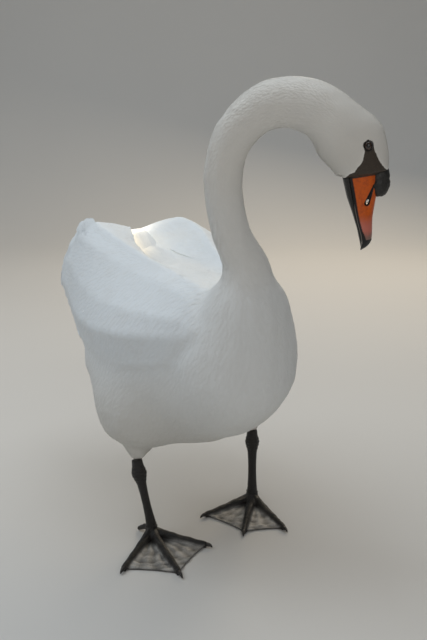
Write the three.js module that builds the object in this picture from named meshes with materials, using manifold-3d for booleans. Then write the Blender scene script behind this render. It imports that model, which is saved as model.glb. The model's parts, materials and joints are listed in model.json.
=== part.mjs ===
// A life-size still model of an adult mute swan standing on both feet, its wings half raised over the
// back and its neck arched over so that the bill points at the ground. Millimetres, +X towards the breast,
// +Y to the bird's left, +Z up, floor at Z = 0. The group is centred over its bounding box at the end.
import * as THREE from "three";
import { mergeVertices } from "three/addons/utils/BufferGeometryUtils.js";
import Module from "manifold-3d";

const wasm = await Module();
wasm.setup();

const V = (x, y, z) => new THREE.Vector3(x, y, z);
const rad = THREE.MathUtils.degToRad;

// ---- driving dimensions ----
const gap = 0.3; // clearance left between pieces that touch
const bodyAt = V(58, -28, 0); // the body's middle plane against the middle of the two heels
const headAt = V(266.8, 106.7, 633.5); // midway between the eyes
const headTurn = rad(56); // to the bird's left of its heading
const headPitch = rad(84); // bill down from level
const billLength = 92; // from the feather line to the tip
const eyeRadius = 6.2;
const eyeOut = 24.5; // eye centre from the head's middle plane
const trunkCell = 24; // grid steps of the flesh solids
const neckCell = 16.5;
const headCell = 11;
const thighCell = 19;

// ---- fields: negative inside, roughly a distance in millimetres ----

// An ellipsoid, tipped nose-up by tilt about the Y axis.
function ellipsoid(centre, radii, tilt = 0) {
  const c = Math.cos(tilt);
  const s = Math.sin(tilt);
  return (x, y, z) => {
    const dx = x - centre.x;
    const dz = z - centre.z;
    const px = (c * dx + s * dz) / radii.x;
    const py = (y - centre.y) / radii.y;
    const pz = (-s * dx + c * dz) / radii.z;
    const k0 = Math.hypot(px, py, pz);
    const k1 = Math.hypot(px / radii.x, py / radii.y, pz / radii.z);
    return k1 > 1e-9 ? (k0 * (k0 - 1)) / k1 : -Math.min(radii.x, radii.y, radii.z);
  };
}

// A straight limb from a to b whose radius runs from ra to rb.
function limb(a, b, ra, rb) {
  const ab = b.clone().sub(a);
  const length2 = ab.lengthSq();
  return (x, y, z) => {
    const along = ((x - a.x) * ab.x + (y - a.y) * ab.y + (z - a.z) * ab.z) / length2;
    const t = THREE.MathUtils.clamp(along, 0, 1);
    const away = Math.hypot(x - a.x - t * ab.x, y - a.y - t * ab.y, z - a.z - t * ab.z);
    return away - (ra + (rb - ra) * t);
  };
}

// A limb that follows a smooth curve through stations [x, y, z, radius].
function curvedLimb(stations, steps) {
  const curve = new THREE.CatmullRomCurve3(stations.map((s) => V(s[0], s[1], s[2])), false, "centripetal");
  const radiusAt = through(stations.map((s, i) => [i / (stations.length - 1), s[3]]));
  const pieces = [];
  for (let i = 0; i < steps; i++) {
    const [t0, t1] = [i / steps, (i + 1) / steps];
    pieces.push(limb(curve.getPoint(t0), curve.getPoint(t1), radiusAt(t0), radiusAt(t1)));
  }
  return { curve, field: (x, y, z) => pieces.reduce((least, f) => Math.min(least, f(x, y, z)), Infinity) };
}

// Fields joined with a fillet of about the given size.
function blend(fillet, fields) {
  return (x, y, z) =>
    fields.reduce((a, f) => {
      const b = f(x, y, z);
      const h = Math.max(fillet - Math.abs(a - b), 0) / fillet;
      return Math.min(a, b) - (h * h * fillet) / 4;
    }, 1e4);
}

// A smooth function through [x, value] keys, level beyond its ends.
function through(keys) {
  const sorted = [...keys].sort((a, b) => a[0] - b[0]);
  const slope = (i, j) => (sorted[j][1] - sorted[i][1]) / (sorted[j][0] - sorted[i][0]);
  const last = sorted.length - 1;
  const tangent = (i) => slope(Math.max(i - 1, 0), Math.min(i + 1, last));
  return (x) => {
    if (x <= sorted[0][0]) return sorted[0][1];
    if (x >= sorted[last][0]) return sorted[last][1];
    const i = sorted.findIndex((k) => x < k[0]) - 1;
    const span = sorted[i + 1][0] - sorted[i][0];
    const t = (x - sorted[i][0]) / span;
    const [h1, h2] = [t * t * (3 - 2 * t), t * (1 - t) * (1 - t)];
    const h3 = t * t * (t - 1);
    return sorted[i][1] * (1 - h1) + sorted[i + 1][1] * h1 + span * (h2 * tangent(i) + h3 * tangent(i + 1));
  };
}

// ---- from fields and rings to closed meshes ----

// The zero surface of a field inside a box, as surface nets whose points are drawn onto the surface.
function netOf(field, box, cell) {
  const size = box.getSize(V(0, 0, 0));
  const n = [size.x, size.y, size.z].map((s) => Math.ceil(s / cell) + 1);
  const at = (i, j, k) => i + n[0] * (j + n[1] * k);
  const here = (i, j, k) => [box.min.x + i * cell, box.min.y + j * cell, box.min.z + k * cell];
  const values = new Float32Array(n[0] * n[1] * n[2]);
  for (let k = 0; k < n[2]; k++)
    for (let j = 0; j < n[1]; j++)
      for (let i = 0; i < n[0]; i++) {
        const rim = i === 0 || j === 0 || k === 0 || i === n[0] - 1 || j === n[1] - 1 || k === n[2] - 1;
        const value = field(...here(i, j, k));
        values[at(i, j, k)] = rim ? Math.max(value, 0.5) : value;
      }
  const corners = [0, 1, 2, 3, 4, 5, 6, 7].map((c) => [c & 1, (c >> 1) & 1, (c >> 2) & 1]);
  const edges = [];
  for (let a = 0; a < 8; a++) for (const bit of [1, 2, 4]) if (!(a & bit)) edges.push([a, a | bit]);
  const points = [];
  const pointOf = new Map();
  for (let k = 0; k < n[2] - 1; k++)
    for (let j = 0; j < n[1] - 1; j++)
      for (let i = 0; i < n[0] - 1; i++) {
        const v = corners.map((c) => values[at(i + c[0], j + c[1], k + c[2])]);
        const sum = [0, 0, 0];
        let crossings = 0;
        for (const [a, b] of edges) {
          if (v[a] < 0 === v[b] < 0) continue;
          const t = v[a] / (v[a] - v[b]);
          for (let axis = 0; axis < 3; axis++) sum[axis] += corners[a][axis] * (1 - t) + corners[b][axis] * t;
          crossings++;
        }
        if (!crossings) continue;
        const start = here(i, j, k);
        pointOf.set(at(i, j, k), points.length / 3);
        const mean = sum.map((s, axis) => start[axis] + (s / crossings) * cell);
        points.push(...drawnOnto(field, mean, box, cell));
      }
  const faces = [];
  const quad = (a, b, c, d, flip) => faces.push(...(flip ? [a, c, b, a, d, c] : [a, b, c, a, c, d]));
  for (let k = 0; k < n[2] - 1; k++)
    for (let j = 0; j < n[1] - 1; j++)
      for (let i = 0; i < n[0] - 1; i++) {
        const inside = values[at(i, j, k)] < 0;
        const cellAt = (x, y, z) => pointOf.get(at(i - x, j - y, k - z));
        if (j && k && inside !== values[at(i + 1, j, k)] < 0)
          quad(cellAt(0, 1, 1), cellAt(0, 0, 1), cellAt(0, 0, 0), cellAt(0, 1, 0), !inside);
        if (i && k && inside !== values[at(i, j + 1, k)] < 0)
          quad(cellAt(1, 0, 1), cellAt(1, 0, 0), cellAt(0, 0, 0), cellAt(0, 0, 1), !inside);
        if (i && j && inside !== values[at(i, j, k + 1)] < 0)
          quad(cellAt(1, 1, 0), cellAt(0, 1, 0), cellAt(0, 0, 0), cellAt(1, 0, 0), !inside);
      }
  return solid(points, faces);
}

// A point moved along the field's slope onto its zero surface, within half a cell. Rim points stay.
function drawnOnto(field, point, box, cell) {
  const low = box.min.toArray();
  const high = box.max.toArray();
  if (point.some((p, axis) => p < low[axis] + 1.5 * cell || p > high[axis] - 1.5 * cell)) return point;
  const step = 0.5;
  const value = field(...point);
  const slope = [0, 1, 2].map((axis) => {
    const moved = point.map((p, a) => p + (a === axis ? step : 0));
    return (field(...moved) - value) / step;
  });
  const steep = Math.max(slope[0] ** 2 + slope[1] ** 2 + slope[2] ** 2, 0.05);
  const move = THREE.MathUtils.clamp(value / steep, -cell / 2, cell / 2);
  return point.map((p, axis) => p - move * slope[axis]);
}

// A closed skin over rings of equal length, each a list of points, with a fan over both ends.
function loft(rings) {
  const n = rings[0].length;
  const points = rings.flat().flatMap((p) => p.toArray());
  const faces = [];
  for (let r = 0; r < rings.length - 1; r++)
    for (let i = 0; i < n; i++) {
      const [a, b] = [r * n + i, r * n + ((i + 1) % n)];
      faces.push(a, b, b + n, a, b + n, a + n);
    }
  const middle = (ring) => ring.reduce((sum, p) => sum.add(p), V(0, 0, 0)).divideScalar(n);
  const first = points.length / 3;
  points.push(...middle(rings[0]).toArray(), ...middle(rings[rings.length - 1]).toArray());
  const end = (rings.length - 1) * n;
  for (let i = 0; i < n; i++) {
    const next = (i + 1) % n;
    faces.push(first, next, i, first + 1, end + i, end + next);
  }
  return solid(points, faces);
}

// A round tapering rod along a curve through stations [x, y, z, half width, half height].
function rod(stations, sides, steps) {
  const curve = new THREE.CatmullRomCurve3(stations.map((s) => V(s[0], s[1], s[2])), false, "centripetal");
  const keys = (column) => through(stations.map((s, i) => [i / (stations.length - 1), s[column]]));
  const [halfWidth, halfHeight] = [keys(3), keys(4)];
  const rings = [];
  const up = Math.abs(curve.getTangent(0.5).z) > 0.7 ? V(1, 0, 0) : V(0, 0, 1);
  for (let r = 0; r <= steps; r++) {
    const t = r / steps;
    const centre = curve.getPoint(t);
    const along = curve.getTangent(t);
    const side = up.clone().cross(along).normalize();
    const over = along.clone().cross(side);
    const ring = [];
    for (let i = 0; i < sides; i++) {
      const angle = (i / sides) * 2 * Math.PI;
      const spread = side.clone().multiplyScalar(Math.cos(angle) * halfWidth(t));
      ring.push(spread.addScaledVector(over, Math.sin(angle) * halfHeight(t)).add(centre));
    }
    rings.push(ring);
  }
  return loft(rings);
}

// A closed mesh as a manifold solid, turned face out.
function solid(points, faces) {
  const asMesh = (tris) =>
    new wasm.Mesh({ numProp: 3, vertProperties: new Float32Array(points), triVerts: new Uint32Array(tris) });
  const made = new wasm.Manifold(asMesh(faces));
  if (made.volume() > 0) return made;
  const turned = [];
  for (let i = 0; i < faces.length; i += 3) turned.push(faces[i], faces[i + 2], faces[i + 1]);
  return new wasm.Manifold(asMesh(turned));
}

// The part of a solid on the side of a plane that its normal points to.
const beyond = (body, normal, point) => body.trimByPlane(normal.toArray(), normal.dot(point) + gap / 2);
const before = (body, normal, point) => beyond(body, normal.clone().negate(), point);

// The same solid a little larger about a point, to cut its neighbours with a clearance.
const grown = (body, about, share) =>
  body
    .translate(about.clone().negate().toArray())
    .scale(1 + share)
    .translate(about.toArray());

// A cut can leave crumbs; the piece is its largest body.
const largest = (body) => body.decompose().reduce((a, b) => (a.volume() > b.volume() ? a : b));

// ---- the head's own frame: +X along the bill, +Y to the left, +Z over the crown ----
const headMatrix = new THREE.Matrix4()
  .makeRotationZ(headTurn)
  .multiply(new THREE.Matrix4().makeRotationY(headPitch))
  .setPosition(headAt);
const headInverse = headMatrix.clone().invert();
const inHead = (field) => (x, y, z) => field(...V(x, y, z).applyMatrix4(headInverse).toArray());
const headToBody = (body) => body.transform(headMatrix.toArray());

// ---- flesh: trunk, neck and head are one smooth field, parted afterwards by thin cuts ----
const trunkShape = [
  ellipsoid(V(76, -5, 317), V(132, 83, 107)), // breast
  ellipsoid(V(-85, 0, 291), V(203, 137, 118), rad(4)), // belly
  ellipsoid(V(-26, 0, 238), V(112, 86, 88)), // keel
  ellipsoid(V(-138, 0, 266), V(114, 138, 90)), // hind flanks
  ellipsoid(V(-72, -73, 216), V(82, 77, 81)), // muscle of the right leg, which carries the weight
  ellipsoid(V(-84, 70, 228), V(84, 72, 68)), // and of the left
  ellipsoid(V(36, -2, 270), V(112, 79, 84)), // between breast and keel
  ellipsoid(V(8, 0, 354), V(148, 90, 62)), // mantle
  ellipsoid(V(-55, 4, 374), V(80, 58, 55)), // scapulars between the wings
  ellipsoid(V(-120, 8, 356), V(130, 56, 52)), // and behind them
  ellipsoid(V(-215, -2, 392), V(95, 32, 44)), // tertials, deep between the wings
  ellipsoid(V(-225, 0, 300), V(106, 70, 48)), // rump
];
const neck = curvedLimb(
  [
    [123, 1, 338, 84],
    [154, -1, 404, 60],
    [163, -6, 443, 41.5],
    [165, -11, 471, 32.6],
    [162, -28, 507, 28.2],
    [161, -41, 559, 27.3],
    [165, -43, 607, 27.7],
    [175, -32, 645, 28.7],
    [199, 0, 680, 31.6],
    [224, 37, 682, 35],
    [242, 64, 666, 36.5],
    [250, 77, 649, 35.5],
  ],
  44,
);
const headShape = [
  ellipsoid(V(-5, 0, -21), V(40, 32, 44)), // skull
  ellipsoid(V(22, 0, -10), V(34, 25, 35)), // face
  ellipsoid(V(40, 0, -14), V(22, 18.5, 25)), // round the bill's root
].map(inHead);
const flesh = blend(36, [blend(30, trunkShape), blend(14, [neck.field, blend(12, headShape)])]);

const neckCut = (t) => [neck.curve.getTangent(t), neck.curve.getPoint(t)];
const [lowCut, middleCut, highCut, napeCut] = [0.24, 0.48, 0.7, 0.93].map(neckCut);
const box = (x0, y0, z0, x1, y1, z1) => new THREE.Box3(V(x0, y0, z0), V(x1, y1, z1));

const trunk = largest(before(netOf(flesh, box(-385, -175, 125, 255, 175, 475), trunkCell), ...lowCut));
const neckNet = netOf(flesh, box(60, -120, 360, 330, 175, 745), neckCell);
const headNet = netOf(flesh, box(185, 20, 545, 345, 185, 712), headCell);

// ---- bill, knob and eyes, in the head's frame ----
const billRoot = 40;
const billTip = billRoot + billLength;
const nailLength = 13;
const culmen = through([
  [36, 8], [64, 4.6], [78, 1], [91, -2], [108, -3.6], [119, -4.8], [127, -9.5], [billTip, -17.5],
]);
const tomium = through([
  [36, -27], [58, -24], [80, -21.8], [96, -20], [111, -18], [122, -18], [billTip, -20.5],
]);
const keel = through([[36, -36], [63, -32.5], [82, -27.8], [102, -23.6], [120, -21.8], [128, -21.2]]);
const billHalfWidth = through([
  [36, 17], [58, 16], [82, 14.8], [108, 15.2], [118, 13.6], [126, 9.5], [billTip, 3],
]);

// One cross-section of a mandible: an arch from one edge over the ridge to the other, closed by a flat.
function mandibleRing(x, ridge, edge, halfWidth, square, swell) {
  const archSteps = 8;
  const flatSteps = 3;
  const ring = [];
  for (let i = 0; i <= archSteps; i++) {
    const angle = (i / archSteps) * Math.PI;
    const across = Math.sign(Math.cos(angle)) * Math.abs(Math.cos(angle)) ** square;
    ring.push(V(x, across * (halfWidth + swell), edge + (ridge - edge) * Math.sin(angle) ** square));
  }
  for (let i = 1; i < flatSteps; i++) ring.push(V(x, ((2 * i) / flatSteps - 1) * (halfWidth + swell), edge));
  return ring;
}
const spaced = (from, to, count) =>
  Array.from({ length: count + 1 }, (_, i) => from + ((to - from) * i) / count);
const upperMandible = (swell) =>
  loft(
    spaced(billRoot - 4 - swell, billTip + swell, 12).map((x) =>
      mandibleRing(x, culmen(x) + swell, tomium(x) - swell, billHalfWidth(x), 0.8, swell),
    ),
  );
const lowerMandible = (swell) =>
  loft(
    spaced(billRoot - swell, 128 + swell, 8).map((x) =>
      mandibleRing(x, keel(x) - swell, tomium(x) - gap + swell, billHalfWidth(x) * 0.84, 0.85, swell),
    ),
  );
const knobField = blend(8, [
  ellipsoid(V(50, 0, 9), V(17, 11.5, 14)),
  ellipsoid(V(37, 0, 11), V(15, 8.5, 11.5)),
]);
const knobNet = netOf(knobField, box(10, -24, -20, 80, 24, 38), 6);

function eyeball(side, swell) {
  const ball = new THREE.IcosahedronGeometry(eyeRadius + swell, 2);
  ball.deleteAttribute("normal");
  ball.deleteAttribute("uv");
  const merged = mergeVertices(ball.translate(0, side * eyeOut, 0), 1e-3);
  return solid([...merged.attributes.position.array], [...merged.index.array]);
}

const forward = V(1, 0, 0);
const faceEnd = V(45, 0, 0); // the feathered skin stops here, round the bill
const upperBill = upperMandible(0);
const knob = largest(knobNet.subtract(upperMandible(gap)));
const knobTool = grown(knobNet, V(44, 0, 10), 0.03);
const faceTools = [upperMandible(gap), lowerMandible(gap), knobTool, eyeball(1, gap), eyeball(-1, gap)];
const faceCut = [forward.clone().transformDirection(headMatrix), faceEnd.clone().applyMatrix4(headMatrix)];
const skull = before(beyond(headNet, ...napeCut), ...faceCut);
const head = largest(faceTools.reduce((body, tool) => body.subtract(headToBody(tool)), skull));

// ---- wings: folded shells, raised over the rump, with a hollow between them ----
// Each line runs from the shoulder back to the tips as [x, distance from the middle plane, z].
const line = (stations) => {
  const [out, up] = [1, 2].map((column) => through(stations.map((s) => [s[0], s[column]])));
  return (x) => V(x, out(x), up(x));
};
const wingLip = line([
  [148, 66, 394], [130, 44, 424], [100, 26, 430], [0, 16, 424], [-100, 33, 430], [-170, 36, 444],
  [-225, 23, 457], [-275, 12, 457], [-325, 14, 437], [-362, 33, 402], [-378, 71, 368],
]);
const wingRidge = line([
  [148, 72, 390], [130, 60, 418], [100, 52, 432], [0, 50, 436], [-100, 66, 448], [-170, 84, 463],
  [-225, 90, 469], [-275, 84, 468], [-325, 80, 445], [-362, 86, 406], [-378, 97, 368],
]);
const wingBulge = line([
  [148, 78, 380], [130, 90, 378], [100, 102, 370], [0, 139, 358], [-100, 152, 350], [-170, 148, 356],
  [-225, 139, 370], [-275, 130, 376], [-325, 121, 372], [-362, 111, 360], [-378, 105, 352],
]);
const wingLow = line([
  [148, 76, 366], [130, 84, 344], [100, 94, 326], [0, 128, 296], [-100, 138, 282], [-170, 134, 282],
  [-225, 125, 294], [-275, 117, 308], [-325, 111, 326], [-362, 105, 338], [-378, 102, 345],
]);
const wingThickness = through([
  [148, 8], [130, 22], [100, 30], [0, 32], [-100, 24], [-170, 16], [-275, 9], [-378, 3],
]);
// The left wing is held a little higher, and turned in so that its lip lies lower and closer.
const leftWingLift = through([[60, 0], [-80, 6], [-190, 0]]);
const leftLipDrop = through([[60, 0], [-30, 13], [-100, 30], [-170, 36], [-225, 27], [-290, 6], [-345, 0]]);

function wingShell(side) {
  const across = 7;
  const rings = spaced(148, -378, 13).map((x) => {
    const [lift, drop] = side > 0 ? [leftWingLift(x), leftLipDrop(x)] : [0, 0];
    const ridge = wingRidge(x).add(V(0, 0, lift));
    const lip = wingLip(x).add(V(0, -drop / 3, lift - drop));
    const stations = [wingLow(x), wingBulge(x), ridge, lip];
    const bow = new THREE.CatmullRomCurve3(stations, false, "centripetal");
    const outer = [];
    const inner = [];
    for (let i = 0; i <= across; i++) {
      const t = i / across;
      const tangent = bow.getTangent(t);
      const inward = V(0, -tangent.z, tangent.y).normalize();
      const thick = wingThickness(x) * (0.15 + 0.85 * Math.sin(Math.PI * t) ** 0.8);
      outer.push(bow.getPoint(t));
      inner.push(bow.getPoint(t).addScaledVector(inward, thick));
    }
    return [...outer, ...inner.reverse()].map((p) => V(p.x, p.y * side, p.z));
  });
  return loft(rings);
}

// The bundle of long flight feathers that shows behind each folded wing.
const bundle = (side) =>
  rod(
    [
      [-235, side * 108, 335, 3, 20],
      [-312, side * 88, 342, 3, 23],
      [-392, side * 58, 346, 2.4, 17],
      [-452, side * 32, 344, 1.2, 4],
    ],
    8,
    7,
  );

// ---- tail: a graduated wedge, arched across ----
const tailHalfWidth = through([[-285, 48], [-342, 60], [-412, 54], [-455, 33], [-476, 10]]);
const tailThickness = through([[-285, 34], [-342, 20], [-412, 9], [-455, 5], [-476, 3]]);
const tailHeight = through([[-285, 312], [-375, 316], [-476, 310]]);
const wedge = loft(
  spaced(-285, -476, 9).map((x) =>
    spaced(0, 15, 15).map((i) => {
      const angle = (i / 16) * 2 * Math.PI;
      const across = tailHalfWidth(x) * Math.cos(angle);
      const sag = 0.0022 * across * across;
      return V(x, across, tailHeight(x) - sag + (tailThickness(x) / 2) * Math.sin(angle));
    }),
  ),
);

const trunkTool = grown(trunk, V(-40, 0, 300), 0.005);
const tail = largest(wedge.subtract(trunkTool));
const neckTool = grown(neckNet, V(165, -5, 440), 0.006);
const wings = [1, -1].map((side) => largest(wingShell(side).subtract(trunkTool).subtract(neckTool)));
const tailTool = grown(wedge, V(-370, 0, 250), 0.01);
const bundles = [1, -1].map((side, i) => {
  const wingTool = grown(wings[i], V(-200, 0, 300), 0.006);
  return largest([trunkTool, wingTool, tailTool].reduce((body, tool) => body.subtract(tool), bundle(side)));
});

// ---- legs and feet, in the standing frame whose origin is midway between the heels ----
// A toe is [direction from the heading in degrees to the left, length with its claw].
const legs = {
  left: {
    hip: [-42, 66, 226, 54],
    cuff: [-42, 110, 123, 15],
    ankle: [-41, 110, 101],
    heel: [-24, 102],
    toes: { inner: [-76, 113], middle: [-33, 137], outer: [-2, 133] },
    hindToe: [150, 30],
  },
  right: {
    hip: [-46, -88, 236, 78],
    cuff: [4, -117, 126, 15],
    ankle: [8, -115, 104],
    heel: [24, -102],
    toes: { inner: [41, 106], middle: [-4, 148], outer: [-42, 131] },
    hindToe: [-158, 30],
  },
};
const heelTop = 20; // where shank and foot part
const clawShare = 0.1; // of a toe's length
const webThickness = 2.4;
const webLift = 1.2;

// The feathered drumstick, down to the cuff where the feathers stop.
function thighOf({ hip, cuff, ankle }) {
  const [top, end] = [V(...hip.slice(0, 3)), V(...cuff.slice(0, 3))];
  const down = V(...ankle).sub(end).normalize();
  const cone = limb(top, end.clone().addScaledVector(down, 8), hip[3], cuff[3] - 3);
  const region = new THREE.Box3().setFromPoints([top, end]).expandByScalar(hip[3] + 12);
  region.min.z = end.z - 24;
  const net = netOf(cone, region, thighCell);
  return largest(before(net, down, end).subtract(trunkTool.translate(bodyAt.toArray())));
}

// Bare lower drumstick, ankle joint and tarsus, flattened from side to side.
function shankOf({ cuff, ankle, heel }) {
  const [top, joint] = [V(...cuff.slice(0, 3)), V(...ankle)];
  const foot = V(heel[0], heel[1], heelTop);
  const down = joint.clone().sub(top).normalize();
  const between = (t) => joint.clone().lerp(foot, t).toArray();
  const column = rod(
    [
      [...top.addScaledVector(down, -4).toArray(), 8.5, 8.5],
      [...joint.clone().addScaledVector(down, -12).toArray(), 9.5, 10],
      [...joint.toArray(), 12.5, 12],
      [...between(0.2), 7.6, 9.6],
      [...between(0.6), 6.4, 9],
      [...between(0.88), 7.6, 9.4],
      [...between(1.1), 9, 10.5],
    ],
    10,
    12,
  );
  return before(beyond(column, down, V(...cuff.slice(0, 3))), V(0, 0, -1), foot);
}

const onFloor = (heel, degrees, length, height) =>
  V(heel[0] + length * Math.cos(rad(degrees)), heel[1] + length * Math.sin(rad(degrees)), height);

// A toe lies along the floor and swells at its root; its claw is a piece of its own.
const toeRod = (heel, [degrees, length]) =>
  rod(
    [
      [0, 9, 8.5, 9.5],
      [0.3, 6.4, 6.6, 7],
      [0.65, 5, 5.6, 5.6],
      [1 - clawShare, 4.4, 4.6, 4.8],
    ].map(([share, height, w, h]) => [...onFloor(heel, degrees, share * length, height).toArray(), w, h]),
    8,
    5,
  );
const clawRod = (heel, [degrees, length]) =>
  rod(
    [
      [1 - clawShare + gap / length, 5.4, 3.4, 3.6],
      [1 - clawShare * 0.4, 5.6, 2.6, 2.8],
      [1, 2.4, 0.8, 0.8],
    ].map(([share, height, w, h]) => [...onFloor(heel, degrees, share * length, height).toArray(), w, h]),
    6,
    3,
  );

// The web hangs between the three front toes and is scalloped along its free edge.
function webOf({ heel, toes }) {
  const reach = 1 - clawShare - 0.02;
  const order = [toes.inner, toes.middle, toes.outer];
  const tips = order.map(([degrees, length]) => onFloor(heel, degrees, length * reach, 0));
  const outline = new THREE.Shape();
  outline.moveTo(heel[0], heel[1]);
  outline.lineTo(tips[0].x, tips[0].y);
  for (const [from, to] of [[tips[0], tips[1]], [tips[1], tips[2]]]) {
    const pull = from.clone().add(to).multiplyScalar(0.5).lerp(V(heel[0], heel[1], 0), 0.06);
    outline.quadraticCurveTo(pull.x, pull.y, to.x, to.y);
  }
  const depth = webThickness;
  const sheet = new THREE.ExtrudeGeometry(outline, { depth, bevelEnabled: false, curveSegments: 5 });
  sheet.deleteAttribute("normal");
  sheet.deleteAttribute("uv");
  const merged = mergeVertices(sheet.translate(0, 0, webLift), 1e-3);
  return solid([...merged.attributes.position.array], [...merged.index.array]);
}

function footOf(leg) {
  const { heel, toes, hindToe } = leg;
  const levels = [[heelTop + 3, 9.2, 10.4], [10, 10, 11.5], [-2, 8, 9]];
  const knuckle = rod(levels.map((level) => [...heel, ...level]), 10, 3);
  const hind = rod(
    [[2, 15, 6, 5.5], [16, 11, 4.6, 4.6], [hindToe[1], 3, 3.2, 3.4]].map(([out, height, w, h]) => [
      ...onFloor(heel, hindToe[0], out, height).toArray(), w, h]),
    8,
    4,
  );
  const pieces = [...Object.values(toes).map((toe) => toeRod(heel, toe)), hind, webOf(leg)];
  const whole = pieces.reduce((body, piece) => body.add(piece), knuckle);
  return before(whole, V(0, 0, 1), V(0, 0, heelTop)).trimByPlane([0, 0, 1], 0);
}

// ---- nodes ----
const finishes = {
  feather: { color: 0xe9ebec, roughness: 0.85 },
  skin: { color: 0x262423, roughness: 0.55 },
  horn: { color: 0xc9541c, roughness: 0.4 },
  black: { color: 0x171514, roughness: 0.45 },
  eye: { color: 0x1a100b, roughness: 0.08 },
};
const swan = new THREE.Group();
const bodyGroup = new THREE.Group();
bodyGroup.position.copy(bodyAt);
const headGroup = new THREE.Group();
headGroup.applyMatrix4(headMatrix);
bodyGroup.add(headGroup);
swan.add(bodyGroup);

function add(parent, name, body, finish) {
  const made = body.getMesh();
  const geometry = new THREE.BufferGeometry();
  geometry.setAttribute("position", new THREE.BufferAttribute(new Float32Array(made.vertProperties), 3));
  geometry.setIndex(new THREE.BufferAttribute(new Uint32Array(made.triVerts), 1));
  geometry.computeVertexNormals();
  const material = new THREE.MeshStandardMaterial({ ...finishes[finish], metalness: 0 });
  const mesh = new THREE.Mesh(geometry, material);
  mesh.name = name;
  parent.add(mesh);
}

add(bodyGroup, "trunk", trunk, "feather");
add(bodyGroup, "neck_lower", largest(before(beyond(neckNet, ...lowCut), ...middleCut)), "feather");
add(bodyGroup, "neck_middle", largest(before(beyond(neckNet, ...middleCut), ...highCut)), "feather");
add(bodyGroup, "neck_upper", largest(before(beyond(neckNet, ...highCut), ...napeCut)), "feather");
add(bodyGroup, "head", head, "feather");
["left", "right"].forEach((name, i) => {
  add(bodyGroup, "wing_" + name, wings[i], "feather");
  add(bodyGroup, "primaries_" + name, bundles[i], "feather");
});
add(bodyGroup, "tail", tail, "feather");
add(headGroup, "bill_knob", knob, "black");
const nailLine = V(billTip - nailLength, 0, 0);
add(headGroup, "bill_upper", before(upperBill, forward, nailLine), "horn");
add(headGroup, "bill_nail", beyond(upperBill, forward, nailLine), "black");
add(headGroup, "bill_lower", lowerMandible(0), "black");
add(headGroup, "eye_left", eyeball(1, 0), "eye");
add(headGroup, "eye_right", eyeball(-1, 0), "eye");
for (const [side, leg] of Object.entries(legs)) {
  add(swan, "thigh_" + side, thighOf(leg), "feather");
  add(swan, "shank_" + side, shankOf(leg), "skin");
  add(swan, "foot_" + side, footOf(leg), "skin");
  for (const [toe, aim] of Object.entries(leg.toes))
    add(swan, `claw_${side}_${toe}`, clawRod(leg.heel, aim), "black");
}

const bounds = new THREE.Box3().setFromObject(swan);
const middle = bounds.getCenter(V(0, 0, 0));
swan.position.set(-middle.x, -middle.y, -bounds.min.z);

export default swan;
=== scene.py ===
# A life-size mute swan: skin, plumage, bill, eyes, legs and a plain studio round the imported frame.
import json
import math
from contextlib import contextmanager

import bmesh
import bpy
import numpy as np
from mathutils import Matrix, Vector
from mathutils.bvhtree import BVHTree
from mathutils.kdtree import KDTree


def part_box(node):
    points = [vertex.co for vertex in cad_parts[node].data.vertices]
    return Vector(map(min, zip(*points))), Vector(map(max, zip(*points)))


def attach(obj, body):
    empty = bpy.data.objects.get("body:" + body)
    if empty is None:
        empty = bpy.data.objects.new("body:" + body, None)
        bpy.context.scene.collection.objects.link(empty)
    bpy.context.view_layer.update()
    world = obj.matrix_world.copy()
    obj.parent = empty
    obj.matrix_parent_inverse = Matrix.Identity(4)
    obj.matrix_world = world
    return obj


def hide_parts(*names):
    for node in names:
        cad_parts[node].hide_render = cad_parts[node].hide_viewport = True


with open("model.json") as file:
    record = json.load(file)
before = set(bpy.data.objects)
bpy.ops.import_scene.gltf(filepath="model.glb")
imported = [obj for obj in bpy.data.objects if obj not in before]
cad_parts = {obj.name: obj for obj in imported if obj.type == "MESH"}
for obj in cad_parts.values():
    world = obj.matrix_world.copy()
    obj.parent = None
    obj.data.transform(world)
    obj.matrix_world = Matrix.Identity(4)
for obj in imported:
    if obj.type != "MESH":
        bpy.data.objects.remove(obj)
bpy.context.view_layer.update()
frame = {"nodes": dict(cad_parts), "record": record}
mm = 0.001
sides = {"left": 1, "right": -1}
print("frame loaded:", len(frame["nodes"]), "nodes")

# The frames that the swan is measured in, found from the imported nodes.
headPose = {"turn": 56, "pitch": 84}  # degrees: to the bird's left, and bill down
tailReach = 0.476  # from the body's own origin back to the tip of the tail


def middleOf(node):
    low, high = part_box(node)
    return (low + high) / 2


headTurn = Matrix.Rotation(math.radians(headPose["turn"]), 4, "Z")
headPitch = Matrix.Rotation(math.radians(headPose["pitch"]), 4, "Y")
eyesMiddle = (middleOf("eye_left") + middleOf("eye_right")) / 2
headFrame = Matrix.Translation(eyesMiddle) @ headTurn @ headPitch  # +X along the bill, +Z over the crown
bodyOrigin = np.array([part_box("tail")[0].x + tailReach, middleOf("tail").y, 0.0])
heels = [np.array(mount["pos_m"]) for mount in frame["record"]["mounts"]]
standing = (heels[0] + heels[1]) / 2  # on the floor, midway between the heels


def toHead(points):
    # points in the head's own frame, in millimetres
    turned = np.asarray(headFrame.inverted())
    return (points @ turned[:3, :3].T + turned[:3, 3]) / mm


def fromHead(points):
    turned = np.asarray(headFrame)
    return np.asarray(points) * mm @ turned[:3, :3].T + turned[:3, 3]


def fromBody(points):
    return np.asarray(points) * mm + bodyOrigin


def unit(vectors):
    return vectors / np.maximum(np.linalg.norm(vectors, axis=-1, keepdims=True), 1e-12)


def smooth(low, high, values):
    share = np.clip((values - low) / (high - low), 0, 1)
    return share * share * (3 - 2 * share)


def addObject(name, data):
    made = bpy.data.objects.new(name, data)
    bpy.context.scene.collection.objects.link(made)
    return made


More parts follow.
